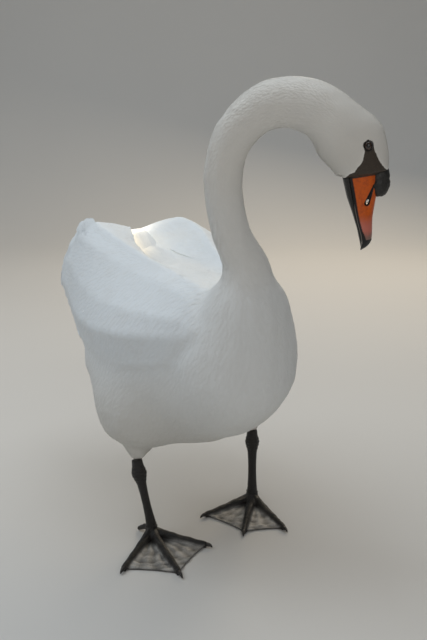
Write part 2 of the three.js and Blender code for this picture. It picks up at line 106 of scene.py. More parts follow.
def looksAt(holder, place, ahead):
    # a camera or lamp at a place, turned to look along a direction
    holder.location = place
    holder.rotation_euler = Vector(ahead).to_track_quat("-Z", "Y").to_euler()


# Camera.
camera = {
    "place": (1.4129, -0.5934, 0.740),
    "heading": (-0.9063, 0.4226),
    "down": 14.84,  # degrees below level
    "lens": 56.25,
    "sensor": 36,  # its height, because the view is upright
}


def addCamera():
    data = bpy.data.cameras.new("camera")
    data.sensor_fit = "VERTICAL"
    data.sensor_height = camera["sensor"]
    data.lens = camera["lens"]
    seen = addObject("camera", data)
    down = math.radians(camera["down"])
    ahead = [share * math.cos(down) for share in camera["heading"]] + [-math.sin(down)]
    looksAt(seen, camera["place"], ahead)
    bpy.context.scene.camera = seen


addCamera()


# Shader maths.
class Sock:
    # a node socket, so that shader maths reads as a plain expression
    def __init__(self, tree, socket=None):
        self.tree = tree
        self.socket = socket

    def node(self, kind, settings=None, inputs=None, output=0):
        made = self.tree.nodes.new("ShaderNode" + kind)
        for name, value in (settings or {}).items():
            if name == "stops":
                setStops(made.color_ramp, value)
            else:
                setattr(made, name, value)
        for name, value in (inputs or {}).items():
            if isinstance(value, Sock):
                self.tree.links.new(value.socket, made.inputs[name])
            else:
                made.inputs[name].default_value = value
        return Sock(self.tree, made.outputs[output])

    def maths(self, operation, first, second=0.0):
        return self.node("Math", {"operation": operation}, {0: first, 1: second})

    def __add__(self, other):
        return self.maths("ADD", self, other)

    __radd__ = __add__

    def __sub__(self, other):
        return self.maths("SUBTRACT", self, other)

    def __rsub__(self, other):
        return self.maths("SUBTRACT", other, self)

    def __mul__(self, other):
        return self.maths("MULTIPLY", self, other)

    __rmul__ = __mul__

    def __truediv__(self, other):
        return self.maths("DIVIDE", self, other)

    def root(self):
        return self.maths("SQRT", self)

    def size(self):
        return self.maths("ABSOLUTE", self)

    def least(self, other):
        return self.maths("MINIMUM", self, other)

    def most(self, other):
        return self.maths("MAXIMUM", self, other)

    def rise(self, low, high):
        # 0 below low, 1 above high, smooth between
        return self.node("MapRange", {"interpolation_type": "SMOOTHSTEP"}, {0: self, 1: low, 2: high})

    def follow(self, stations):
        # a value that runs through stations [place, value] in straight lines
        places, values = zip(*stations)
        low, high = min(values), max(values)
        spot = self.node("MapRange", {}, {0: self, 1: places[0], 2: places[-1]})
        span = places[-1] - places[0]
        stops = [((p - places[0]) / span, [(v - low) / (high - low)] * 3 + [1]) for p, v in stations]
        return spot.node("ValToRGB", {"stops": stops}, {0: spot}) * (high - low) + low

    def mixed(self, first, second):
        # from the first colour at 0 to the second at 1
        colours = {0: self, 6: paint(first), 7: paint(second)}
        return self.node("Mix", {"data_type": "RGBA"}, colours, 2)

    def noise(self, scale, detail=2.0, roughness=0.5, stretch=(1, 1, 1)):
        moved = self.node("VectorMath", {"operation": "MULTIPLY"}, {0: self, 1: stretch})
        values = {"Vector": moved, "Scale": scale, "Detail": detail, "Roughness": roughness}
        return self.node("TexNoise", {}, values)

    def part(self, axis):
        return self.node("SeparateXYZ", {}, {0: self}, axis)

    def along(self, direction):
        return self.node("VectorMath", {"operation": "DOT_PRODUCT"}, {0: self, 1: direction}, 1)


def setStops(ramp, stops):
    while len(ramp.elements) > 1:
        ramp.elements.remove(ramp.elements[0])
    for index, (place, colour) in enumerate(stops):
        stop = ramp.elements[0] if index == 0 else ramp.elements.new(place)
        stop.position = place
        stop.color = colour


def paint(colour):
    return colour if isinstance(colour, Sock) else (*colour, 1)


def newMaterial(name, fixed):
    # a material, its start and its shader, with the sockets that hold one value set
    material = bpy.data.materials.new(name)
    material.use_nodes = True
    tree = material.node_tree
    tree.nodes.clear()
    shader = tree.nodes.new("ShaderNodeBsdfPrincipled")
    end = tree.nodes.new("ShaderNodeOutputMaterial")
    tree.links.new(shader.outputs[0], end.inputs[0])
    for socket, value in fixed.items():
        shader.inputs[socket].default_value = value
    return material, Sock(tree), shader


def feed(shader, colour, rough=None, relief=None, strength=0, distance=0):
    # the sockets that vary over a material: its colour, roughness and fine relief
    linked = {"Base Color": colour, "Roughness": rough}
    if relief is not None:
        values = {"Height": relief, "Strength": strength, "Distance": distance}
        linked["Normal"] = relief.node("Bump", {}, values)
    for socket, value in linked.items():
        if value is not None:
            value.tree.links.new(value.socket, shader.inputs[socket])


def placeOf(start):
    return start.node("TexCoord", output=3)


def headPlace(start):
    # the three coordinates in the head's own frame, in millimetres
    place = placeOf(start)
    home = place.node("VectorMath", {"operation": "SUBTRACT"}, {0: place, 1: eyesMiddle})
    axes = [headFrame.to_3x3().col[axis] / mm for axis in range(3)]
    return [home.along(tuple(axis)) for axis in axes]


def numberOf(start, name):
    # a number that a mesh holds for each of its points
    return start.node("Attribute", {"attribute_name": name}, output=2)


# Meshes as arrays.
def meshOf(name, points, faces):
    # faces hold three or four corners each
    mesh = bpy.data.meshes.new(name)
    count, corners = faces.shape
    mesh.vertices.add(len(points))
    mesh.vertices.foreach_set("co", points.astype(np.float32).ravel())
    mesh.loops.add(count * corners)
    mesh.loops.foreach_set("vertex_index", faces.astype(np.int32).ravel())
    mesh.polygons.add(count)
    mesh.polygons.foreach_set("loop_start", np.arange(0, count * corners, corners, dtype=np.int32))
    mesh.polygons.foreach_set("use_smooth", np.ones(count, bool))
    mesh.update(calc_edges=True)
    return mesh


def addPiece(name, mesh, material, replaced=()):
    piece = addObject(name, mesh)
    mesh.materials.append(material)
    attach(piece, "root")
    if replaced:
        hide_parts(*replaced)
    return piece


def setNumbers(mesh, name, values):
    mesh.attributes.new(name, "FLOAT", "POINT").data.foreach_set("value", values.astype(np.float32))


def setMap(mesh, name, pointPlaces):
    # a UV map from one place for each point
    corners = np.empty(len(mesh.loops), np.int32)
    mesh.loops.foreach_get("vertex_index", corners)
    mesh.uv_layers.new(name=name).data.foreach_set("uv", pointPlaces[corners].astype(np.float32).ravel())


def pointsOf(mesh):
    places = np.empty(len(mesh.vertices) * 3)
    mesh.vertices.foreach_get("co", places)
    return places.reshape(-1, 3)


def movePoints(mesh, points):
    mesh.vertices.foreach_set("co", points.astype(np.float32).ravel())
    mesh.polygons.foreach_set("use_smooth", np.ones(len(mesh.polygons), bool))
    mesh.update()


def edgesOf(mesh):
    ends = np.empty(len(mesh.edges) * 2, np.int32)
    mesh.edges.foreach_get("vertices", ends)
    return ends.reshape(-1, 2)


def trianglesOf(mesh):
    mesh.calc_loop_triangles()
    corners = np.empty(len(mesh.loop_triangles) * 3, np.int32)
    mesh.loop_triangles.foreach_get("vertices", corners)
    return corners.reshape(-1, 3)


def summed(numbers, values, count):
    # rows of values added up at the points that they belong to
    return np.stack([np.bincount(numbers, column, count) for column in values.T], 1)


def normalsOf(points, triangles):
    first, second, third = (points[triangles[:, corner]] for corner in range(3))
    across = np.cross(second - first, third - first)
    return unit(sum(summed(triangles[:, corner], across, len(points)) for corner in range(3)))


def spread(values, edges):
    # the mean of every point's neighbours
    rows = values.reshape(len(values), -1)
    count = np.bincount(edges.ravel(), minlength=len(values))
    total = summed(edges[:, 0], rows[edges[:, 1]], len(values))
    total += summed(edges[:, 1], rows[edges[:, 0]], len(values))
    return (total / np.maximum(count, 1)[:, None]).reshape(values.shape)


def relaxed(points, edges, rounds):
    # smoothing that keeps the volume: a push towards the neighbours and a pull back
    for _ in range(rounds):
        for share in (0.6, -0.62):
            points = points + share * (spread(points, edges) - points)
    return points


def diffused(values, edges, rounds):
    for _ in range(rounds):
        values = values + 0.7 * (spread(values, edges) - values)
    return values


@contextmanager
def opened(mesh):
    # a mesh's points and faces, written back when the changes to them are done
    sheet = bmesh.new()
    sheet.from_mesh(mesh)
    yield sheet
    sheet.to_mesh(mesh)
    sheet.free()


def weldedNode(name):
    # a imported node's points, outward normals and triangles, with shared points joined
    welded = frame["nodes"][name].data.copy()
    with opened(welded) as sheet:
        bmesh.ops.remove_doubles(sheet, verts=sheet.verts, dist=1e-6)
        bmesh.ops.triangulate(sheet, faces=sheet.faces)
    points, triangles = pointsOf(welded), trianglesOf(welded)
    bpy.data.meshes.remove(welded)
    return points, normalsOf(points, triangles), triangles


def joined(parts):
    # lists of (points, faces) as one
    starts = np.cumsum([0] + [len(points) for points, _ in parts])
    faces = [faces + start for (_, faces), start in zip(parts, starts)]
    return np.concatenate([points for points, _ in parts]), np.concatenate(faces)


def applied(holder):
    # the mesh that an object's modifier makes, in place of the object
    bpy.context.view_layer.update()
    made = bpy.data.meshes.new_from_object(holder.evaluated_get(bpy.context.evaluated_depsgraph_get()))
    bpy.data.objects.remove(holder)
    return made


def remeshed(nodes, voxel, bridge, rounds):
    # the nodes as one closed skin of small faces, over the thin gaps between them
    grown = []
    for node in nodes:
        points, normals, triangles = weldedNode(node)
        grown.append((points + normals * bridge, triangles))
    source = meshOf("source", *joined(grown))
    holder = addObject("source", source)
    maker = holder.modifiers.new("cells", "REMESH")
    maker.mode = "VOXEL"
    maker.voxel_size = voxel
    maker.adaptivity = 0
    made = applied(holder)
    bpy.data.meshes.remove(source)
    keepLargest(made)
    smoothed = relaxed(pointsOf(made), edgesOf(made), rounds)
    normals = normalsOf(smoothed, trianglesOf(made))
    movePoints(made, smoothed - normals * bridge)
    return made


def keepLargest(mesh):
    # drops closed hollows inside, which are islands of their own
    edges = edgesOf(mesh)
    island = np.arange(len(mesh.vertices))
    while True:
        before = island.copy()
        np.minimum.at(island, edges[:, 0], island[edges[:, 1]])
        np.minimum.at(island, edges[:, 1], island[edges[:, 0]])
        island = island[island]
        if np.array_equal(island, before):
            break
    main = np.bincount(island).argmax()
    if (island == main).all():
        return
    with opened(mesh) as sheet:
        loose = [vertex for vertex in sheet.verts if island[vertex.index] != main]
        bmesh.ops.delete(sheet, geom=loose, context="VERTS")


# The bill's lines, in the head's frame: the face tucks under them.
bill = {
    "root": 37,
    "tip": 131.6,
    "culmen": [(36, 10), (50, 8.2), (64, 5.4), (78, 2), (91, -1.2), (108, -2.7), (119, -3.8)]
    + [(126, -8), (130, -12.5), (132, -17.8)],
    "edge": [(36, -26), (58, -23.8), (80, -22), (96, -20), (111, -17), (122, -16.4), (132, -19)],
    "keel": [(36, -35.5), (63, -31.5), (82, -26.4), (102, -21.8), (120, -19.4), (128, -18.4)],
    "halfWidth": [(36, 18.3), (46, 17.4), (58, 16), (82, 14.8), (108, 15.2), (118, 13.6)]
    + [(126, 9.5), (132, 3)],
    "stations": 90,
    "around": 44,
    "knobCells": (0.8 * mm, 0, 12),  # voxel, bridge and rounds of the knob's remesh
    "under": 0.86,  # the lower half's width against the upper's
    "nail": {"from": 117, "half": 7.4, "proud": 0.55, "deep": 3.4},
    "lip": {"up": 4.4, "reach": 1.3, "deep": 0.35, "from": (46, 60), "to": (112, 122)},  # over the edge
    "brow": {"at": (58, -1), "reach": (16, 5.0), "proud": 0.8},  # a swelling over the nostrils
    "grain": 0.07,
    "nostril": {"from": (50, 3.5), "to": (72, -6.6), "half": 3.1, "deep": 3.0, "hole": (1.7, 3.0)},
    "taper": (0.34, 0.66, 1.6),  # the groove's width at its start, what it gains, and how late
    "soft": (0.55, 1.25),  # its slopes, from here to here out from its middle line
}


def eased(line, rounds):
    # a line's values softened again and again, its ends kept
    line = line.copy()
    for _ in range(rounds):
        line[1:-1] = (line[:-2] + 2 * line[1:-1] + line[2:]) / 4
    return line


def curved(stations, places):
    # values along stations, eased so that no corner shows
    table = np.array(stations, float)
    fine = np.linspace(table[0, 0], table[-1, 0], 200)
    return np.interp(places, fine, eased(np.interp(fine, table[:, 0], table[:, 1]), 60))


def arch(along, ridge, edge, half, square, count):
    # one cross-section, from the left edge over the ridge to the right, then back under
    turns = np.linspace(0, math.pi, count)
    cosine, sine = np.cos(turns), np.sin(turns)
    over = np.sign(cosine) * np.abs(cosine) ** square * half
    up = edge + (ridge - edge) * np.abs(sine) ** square
    under = np.linspace(-1, 1, 9)[1:-1] * half
    sag = np.full(len(under), edge) + (ridge - edge) * 0.04 * (1 - (under / half) ** 2)
    across = np.concatenate([over, under])
    return np.stack([np.full(len(across), along), across, np.concatenate([up, sag])], 1)


# Skin: one surface in place of all the flesh nodes.
skin = {
    "voxel": 3.5 * mm,
    "bridge": 1.0 * mm,
    "rounds": 55,
    "faceFrom": -6,  # in front of this the faces are halved, along the head
    "faceReach": 66,  # and nearer to the eyes' middle than this
    "coatDepth": {"trunk": 3.2, "neck": 2.4, "head": 1.2, "thigh": 2.0, "wing": 0.8},
    "billFrom": 38.5,  # the skin tucks under the bill's horn from here
    "foldRounds": 520,  # how far the folds round each wing and thigh are softened
    "foldReach": (190, 2.6),  # rounds that spread this from the seams, and its strength
    "foldFill": 1.6,  # how much of the softening fills them up
    "foldWear": 0.4,  # and how much of it wears the wings down
    "socket": (4.2, 7.5, 3.6),  # each eye's: flat out to here, ends here, and how deep
    "belly": {"at": (0.120, -0.030, 0.178), "reach": 0.045, "by": 6 * mm},  # drawn in here, ahead of the legs
}
fleshNodes = ["trunk", "neck_lower", "neck_middle", "neck_upper", "head"]
fleshNodes += [part + side for part in ("thigh_", "wing_") for side in sides]
buried = ["bill_upper", "bill_lower", "bill_knob", "eye_left", "eye_right"]  # fill the face's sockets


def halveFace(mesh):
    local = toHead(pointsOf(mesh))
    near = (local[:, 0] > skin["faceFrom"]) & (np.linalg.norm(local, axis=1) < skin["faceReach"])
    with opened(mesh) as sheet:
        edges = [edge for edge in sheet.edges if near[edge.verts[0].index] and near[edge.verts[1].index]]
        bmesh.ops.subdivide_edges(sheet, edges=edges, cuts=1, use_grid_fill=True, smooth=0.5)


def partsAt(places):
    # the flesh node that each place lies nearest to, as a number in fleshNodes
    nodes = [weldedNode(name) for name in fleshNodes]
    points, triangles = joined([(points, triangles) for points, _, triangles in nodes])
    owners = np.repeat(np.arange(len(nodes)), [len(triangles) for _, _, triangles in nodes])
    tree = BVHTree.FromPolygons(points.tolist(), triangles.tolist())
    return np.array([owners[tree.find_nearest(place)[2]] for place in places.tolist()])


def byPart(parts, values):
    # one value for each place, from a dictionary that names kinds of node
    kinds = [next(kind for kind in values if name.startswith(kind)) for name in fleshNodes]
    return np.array([values[kind] for kind in kinds])[parts]


def partOf(parts, name):
    return parts == fleshNodes.index(name)


def tucked(points):
    # the face narrows into the bill's horn, and the eyes get shallow sockets
    local = toHead(points)
    along, across, high = local.T
    boxed = (np.abs(across) < 34) & (high > -50) & (high < 34) & (along < 140)
    pull = np.where(boxed, smooth(skin["billFrom"] - 5, skin["billFrom"] + 0.5, along), 0)
    ridge, edge, keel, half = (curved(bill[key], along) for key in ("culmen", "edge", "keel", "halfWidth"))
    upper = high >= edge
    share = np.clip(np.where(upper, (high - edge) / (ridge - edge), (edge - high) / (edge - keel)), 0, 1)
    allowed = half * np.where(upper, 1, bill["under"]) * (1 - share**2.5) ** 0.4 - 0.7
    held = np.minimum(1, np.maximum(allowed, 2) / np.maximum(np.abs(across), 1e-6))
    local[:, 1] *= 1 - pull * (1 - held)
    local[:, 2] -= pull * (high - np.clip(high, keel + 0.7, ridge - 0.7))
    ahead = np.where(boxed, np.maximum(along - skin["billFrom"], 0), 0)
    local[:, 0] -= ahead - 7 * (1 - np.exp(-ahead / 7))
    far = np.hypot(local[:, 0], local[:, 2])
    flat, end, deep = skin["socket"]
    socket = np.where(boxed & (np.abs(local[:, 1]) > 12), 1 - smooth(flat, end, far), 0)
    local[:, 1] -= np.sign(local[:, 1]) * socket * deep
    return fromHead(local)


def foldsFilled(points, parts, normals):
    # the folds where the wings and thighs leave the flanks fill up, as they do under plumage
    limbs = np.where(parts > fleshNodes.index("head"), parts, 0)
    seam = np.zeros(len(points))
    crossing = skinEdges[limbs[skinEdges[:, 0]] != limbs[skinEdges[:, 1]]]
    seam[crossing.ravel()] = 1
    wings = partOf(parts, "wing_left") | partOf(parts, "wing_right")
    outside = normals[:, 1] * np.sign(points[:, 1] - bodyOrigin[1]) > 0.2
    rounds, strength = skin["foldReach"]
    near = diffused(seam * (outside | ~wings), skinEdges, rounds)
    share = np.clip(near / near.max() * strength, 0, 1)
    shift = ((diffused(points, skinEdges, skin["foldRounds"]) - points) * normals).sum(1)
    byWing = diffused(wings.astype(float), skinEdges, 60) > 0.25
    filled, worn = shift * (skin["foldFill"] - 0.3 * byWing), shift * skin["foldWear"] * byWing
    shift = np.where(shift > 0, filled, worn)
    shift = diffused(shift * share, skinEdges, 12)
    return points + normals * shift[:, None]


def unwrap(piece):
    # an unwrap of the piece's own shape, in the map named OFBake
    piece.data.uv_layers.new(name="OFBake")
    for other in bpy.context.selected_objects:
        other.select_set(False)
    bpy.context.view_layer.objects.active = piece
    piece.select_set(True)
    bpy.ops.object.mode_set(mode="EDIT")
    bpy.ops.mesh.select_all(action="SELECT")
    bpy.ops.uv.smart_project(angle_limit=math.radians(70), island_margin=0.001)
    bpy.ops.object.mode_set(mode="OBJECT")
    piece.select_set(False)


skinMesh = remeshed(fleshNodes + buried, skin["voxel"], skin["bridge"], skin["rounds"])
halveFace(skinMesh)
skinEdges = edgesOf(skinMesh)
skinTriangles = trianglesOf(skinMesh)
skinPoints = relaxed(pointsOf(skinMesh), skinEdges, 3)
skinParts = partsAt(skinPoints)
coatDepth = diffused(byPart(skinParts, skin["coatDepth"]), skinEdges, 30) * mm
outward = unit(diffused(normalsOf(skinPoints, skinTriangles), skinEdges, 5))
skinPoints = foldsFilled(skinPoints, skinParts, outward)
bellyGaps = np.linalg.norm(skinPoints - standing - skin["belly"]["at"], axis=1) / skin["belly"]["reach"]
skinPoints -= outward * (skin["belly"]["by"] * np.exp(-(bellyGaps**2) / 2))[:, None]
skinPoints = tucked(skinPoints - outward * coatDepth[:, None])
skinNormals = unit(diffused(normalsOf(skinPoints, skinTriangles), skinEdges, 3))
movePoints(skinMesh, skinPoints)
skinTree = BVHTree.FromPolygons(skinPoints.tolist(), skinTriangles.tolist())
print("skin:", len(skinPoints), "points,", len(skinTriangles), "triangles")


# Lie of the plumage: it runs away from the bill, to the tail, the wing rims and the cuffs.
flow = {
    "rimCentre": (-190, 370),  # in the body's frame, seen from the side
    "rimTurns": (24, 194, 2),  # degrees from straight ahead over the top to behind, and the step
    # how strongly the rims draw the lie, by how far back they are
    "rimPull": [(40, 0.66), (150, 0.8), (290, 0.97), (360, 1.06)],
    "rimReach": 6,  # it ends where the skin is nearer to them than this
    "cuff": 8,  # as it does so far up from each thigh's lower end
    "tail": -314,  # and behind this on the trunk, along the body
}


def rimOf(side):
    # points along a wing's upper and hind edge, at even steps, from the top round to the tip
    local = (skinPoints - bodyOrigin) / mm
    members = np.flatnonzero(partOf(skinParts, "wing_" + side))
    seen = local[members][:, [0, 2]] - flow["rimCentre"]
    turn = np.degrees(np.arctan2(seen[:, 1], seen[:, 0])) % 360
    far = np.hypot(*seen.T)
    low, top, step = flow["rimTurns"]
    slots = [(turn >= start) & (turn < start + step) for start in range(low, top, step)]
    corners = np.array([skinPoints[members[np.argmax(far * slot)]] for slot in slots])
    corners = eased(corners, 2)
    run = runOf(corners)
    return sampled(corners, run, np.arange(0, run[-1], 2 * mm))


def runOf(corners):
    # how far along a path each of its corners lies
    return np.concatenate([[0], np.cumsum(np.linalg.norm(np.diff(corners, axis=0), axis=1))])


def sampled(corners, run, wanted):
    # the path's points that far along it
    return np.stack([np.interp(wanted, run, corners[:, axis]) for axis in range(3)], 1)


def evenCount(corners, count):
    run = runOf(corners)
    return sampled(corners, run, np.linspace(0, run[-1], count))


def treeOf(places):
    tree = KDTree(len(places))
    for index, place in enumerate(places.tolist()):
        tree.insert(place, index)
    tree.balance()
    return tree


def solved(edges, fixed, values, rounds=500):
    # a field with the values that fixed points have and the mean of its neighbours elsewhere
    count = np.bincount(edges.ravel(), minlength=len(values))

    def excess(column):
        full = np.zeros(len(values))
        full[~fixed] = column
        return (count * (full - spread(full, edges)))[~fixed]

    pinned = np.where(fixed, values, 0.0)
    rest = (count * (spread(pinned, edges) - pinned))[~fixed]
    free = np.zeros(len(rest))
    course = rest.copy()
    power = rest @ rest
    for _ in range(rounds):
        moved = excess(course)
        share = power / (course @ moved)
        free += share * course
        rest -= share * moved
        last, power = power, rest @ rest
        if power < 1e-16:
            break
        course = rest + course * power / last
    full = pinned.copy()
    full[~fixed] = free
    return full


def slopeOf(values, points, edges):
    step = points[edges[:, 1]] - points[edges[:, 0]]
    rise = (values[edges[:, 1]] - values[edges[:, 0]]) / np.maximum((step**2).sum(1), 1e-12)
    push = rise[:, None] * step
    return summed(edges[:, 0], push, len(points)) + summed(edges[:, 1], push, len(points))


def flattened(vectors, normals):
    return unit(vectors - (vectors * normals).sum(-1, keepdims=True) * normals)


def lieOfCoat():
    local = toHead(skinPoints)
    start = (local[:, 0] > 30) & (np.linalg.norm(local, axis=1) < 150)
    behind = (skinPoints - bodyOrigin)[:, 0] / mm < flow["tail"]
    ends = (skinParts == 0) & behind
    heights = np.ones(len(skinPoints))
    for side in sides:
        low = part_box("thigh_" + side)[0].z
        ends |= partOf(skinParts, "thigh_" + side) & (skinPoints[:, 2] < low + flow["cuff"] * mm)
        near = treeOf(rims[side])
        members = np.flatnonzero(partOf(skinParts, "wing_" + side))
        gaps = np.array([near.find(skinPoints[index])[2] for index in members])
        rimPoints = members[gaps < flow["rimReach"] * mm]
        ends[rimPoints] = True
        back = (bodyOrigin[0] - skinPoints[rimPoints, 0]) / mm
        heights[rimPoints] = np.interp(back, *zip(*flow["rimPull"]))
    field = solved(skinEdges, start | ends, np.where(ends, heights, 0.0))
    lie = flattened(slopeOf(field, skinPoints, skinEdges), skinNormals)
    flat = start | ends  # no slope of their own there, so they take their neighbours'
    flat |= spread(flat.astype(float), skinEdges) > 0
    lie[flat] = 0
    for _ in range(40):
        lie[flat] = spread(lie, skinEdges)[flat]
    return flattened(diffused(unit(lie), skinEdges, 10), skinNormals)


rims = {side: rimOf(side) for side in sides}
skinLie = lieOfCoat()
print("lie of the plumage found")


# Vanes: every feather is a curved blade laid along the skin.
def onSkin(places):
    # the nearest places on the skin, with the triangle and the shares of its corners
    hits = [skinTree.find_nearest(place) for place in places.reshape(-1, 3).tolist()]
    found = np.array([hit[0] for hit in hits])
    faces = np.array([hit[2] for hit in hits])
    first, second, third = (skinPoints[skinTriangles[faces, corner]] for corner in range(3))
    whole = np.cross(second - first, third - first)
    area = np.maximum((whole**2).sum(1), 1e-20)
    toThird = (np.cross(second - first, found - first) * whole).sum(1) / area
    toSecond = (np.cross(found - first, third - first) * whole).sum(1) / area
    shares = np.stack([1 - toSecond - toThird, toSecond, toThird], 1)
    return found, faces, shares


def read(values, faces, shares):
    # point values at places inside triangles
    corners = values[skinTriangles[faces]]
    return (corners * shares.reshape(shares.shape + (1,) * (corners.ndim - 2))).sum(1)


def laid(roots, steps, turns, loose):
    # paths over the skin from the roots, along the lie, with the skin's normals beside them
    places, faces, shares = onSkin(roots)
    normals = unit(read(skinNormals, faces, shares))
    aim = flattened(read(skinLie, faces, shares), normals)
    across = np.cross(normals, aim)
    aim = aim * np.cos(turns)[:, None] + across * np.sin(turns)[:, None]
    path, sky = [places], [normals]
    for step in steps:
        ahead = path[-1] + aim * step[:, None]
        places, faces, shares = onSkin(ahead)
        gap = np.linalg.norm(ahead - places, axis=1)
        fresh = unit(read(skinNormals, faces, shares))
        turned = (fresh * normals).sum(-1) < coat["turned"]
        off = (turned | (loose & (gap > 0.35 * step + 1.5 * mm)))[:, None]  # it runs on past an edge
        normals = np.where(off, normals, fresh)
        path.append(np.where(off, ahead, places))
        sky.append(normals)
        lie = read(skinLie, faces, shares)
        aim = np.where(off, aim, flattened(0.55 * aim + 0.45 * lie, normals))
    return np.stack(path, 1), np.stack(sky, 1)


def bladeGrid(path, sky, widths, look, seed):
    # blades along many paths: points, quads, places over the blade, tones and soft normals
    rng = np.random.default_rng(seed)
    count, stations, _ = path.shape
    columns = look["columns"]
    across = np.linspace(-1, 1, columns)
    share = np.linspace(0, 1, stations)
    outline = np.interp(share, *zip(*look["outline"]))
    rise = np.interp(share, *zip(*look["rise"])) * mm
    ahead = unit(np.gradient(path, axis=1))
    ahead = unit(ahead - (ahead * sky).sum(-1, keepdims=True) * sky)
    aside = np.cross(sky, ahead)
    half = widths[:, None] * outline[None, :]
    notch = 1 - look.get("notch", 0) * rng.random((count, stations, 2)) ** 2 * (share > 0.3)[None, :, None]
    reach = half[:, :, None] * across * np.where(across < 0, notch[:, :, :1], notch[:, :, 1:])
    height = rise[None, :, None] * look["lift"] - look["camber"] * across**2 * half[:, :, None]
    height = height + look.get("roll", 0) * across * half[:, :, None]
    points = path[:, :, None] + aside[:, :, None] * reach[..., None] + sky[:, :, None] * height[..., None]
    trail = look["round"] * across**2 * share[:, None] ** 3
    ragged = look["fray"] * rng.random((count, columns)) * (share[-1] == 1)
    points = points - ahead[:, :, None] * trail[None, :, :, None] * widths[:, None, None, None]
    points[:, -1] -= ahead[:, -1, None] * (ragged * widths[:, None])[..., None]
    soft = unit(sky[:, :, None] + look["crown"] * across[None, None, :, None] * aside[:, :, None])
    tones = np.broadcast_to(rng.random(count)[:, None, None], points.shape[:3])
    over = np.broadcast_to(np.stack(np.meshgrid(across, share), -1), points.shape[:3] + (2,))
    grid = np.arange(stations * columns).reshape(stations, columns)
    quads = np.stack([grid[:-1, :-1], grid[1:, :-1], grid[1:, 1:], grid[:-1, 1:]], -1).reshape(-1, 4)
    size = stations * columns
    flat = {
        "points": points.reshape(count, size, 3),
        "soft": soft.reshape(count, size, 3),
        "tones": tones.reshape(count, size),
        "over": over.reshape(count, size, 2),
    }
    if look.get("thick"):
        thin = look["thick"] * np.interp(share, [0, 0.8, 1], [1, 0.7, 0.25])
        drop = np.broadcast_to((thin[:, None] * (1 - 0.7 * across**4))[None], points.shape[:3])
        under = points - sky[:, :, None] * drop[..., None]
        flat["points"] = np.concatenate([flat["points"], under.reshape(count, size, 3)], 1)
        flat["soft"] = np.concatenate([flat["soft"], -flat["soft"]], 1)
        flat["tones"] = np.concatenate([flat["tones"]] * 2, 1)
        flat["over"] = np.concatenate([flat["over"]] * 2, 1)
        loop = np.concatenate([grid[0, :-1], grid[:-1, -1], grid[-1, :0:-1], grid[:0:-1, 0]])
        rim = np.stack([loop, np.roll(loop, -1), np.roll(loop, -1) + size, loop + size], -1)
        quads = np.concatenate([quads, quads[:, ::-1] + size, rim])
        size *= 2
    faces = (np.arange(count)[:, None, None] * size + quads[None]).reshape(-1, 4)
    return flat, faces


def featherPiece(name, flat, faces, patches, warm, material):
    # one mesh of many blades, with the export's patches, the vane's own map and soft normals
    _, size, _ = flat["points"].shape
    mesh = meshOf(name, flat["points"].reshape(-1, 3), faces)
    over = flat["over"] * [0.5, 1] + [0, -0.5]  # patch corners, across and along
    patch = patches[:, None] + over * 0.003
    setMap(mesh, "OFBake", patch.reshape(-1, 2))
    setMap(mesh, "vane", (flat["over"] * [0.5, 1] + [0.5, 0]).reshape(-1, 2))
    setNumbers(mesh, "tone", flat["tones"].reshape(-1))
    setNumbers(mesh, "warm", np.repeat(warm, size))
    mesh.normals_split_custom_set_from_vertices(flat["soft"].reshape(-1, 3))
    return addPiece(name, mesh, material)


# Coat: small contour feathers all over the skin.
coat = {
    "length": {"trunk": 18, "neck_lower": 11, "neck": 8, "head": 4.4, "thigh": 12, "wing": 21},
    "blend": 60,  # rounds of smoothing between these lengths
    "uneven": 0.15,  # how much single lengths differ from them
    "stray": 0.13,  # how far single feathers turn from the lie, in radians
    "billFrom": 37.5,  # none grow on the bill, along the head
    "split": -60,  # the trunk's pieces meet here, along the body
    "loose": 30,  # on the rump, further from the wings' rims than this, they run on past edges
    "spacing": 0.3,  # of the length
    "width": 0.21,  # half of it, of the length
    "faceLength": 2.6,  # beside the bill
    "rump": (42, -225, -300),  # the longest there, where they begin and where they reach it, along the body
    "wingLift": 0.26,  # how far the tips stand off the wings, against the lifts given to each length
    "rimLength": 1.5,  # how far a feather may reach past the wings' rims and lips
    "rimLeast": 4,  # the shortest there
    "rimBare": 3.4,  # none grow nearer to them than this
    "lipBare": 9,  # or than this on the wings' inner faces
    "turned": 0.5,  # a feather runs on straight where the skin's normal agrees less than this with its own
    "sharp": 0.74,  # where the skin's normals, spread a little, agree less than this, it counts as a rim
    "smoothAt": (-160, 34, 424),  # none grow here in the body's frame, on the far wing's lip over the back
    "smoothReach": (52, 15, 22),  # in an ellipsoid with these half axes
    "seed": 11,
}


def coatLengths():
    lengths = diffused(byPart(skinParts, coat["length"]), skinEdges, coat["blend"])
    back = (skinPoints[:, 0] - bodyOrigin[0]) / mm
    longest, start, full = coat["rump"]
    rump = smooth(-start, -full, -back) * (skinParts == 0) * (skinNormals[:, 2] > -0.2)
    lengths += (longest - lengths) * diffused(rump, skinEdges, 20)
    face = np.linalg.norm(toHead(skinPoints) - [30, 0, -10], axis=1)
    return np.minimum(lengths, coat["faceLength"] + 0.055 * np.maximum(face - 12, 0)) * mm


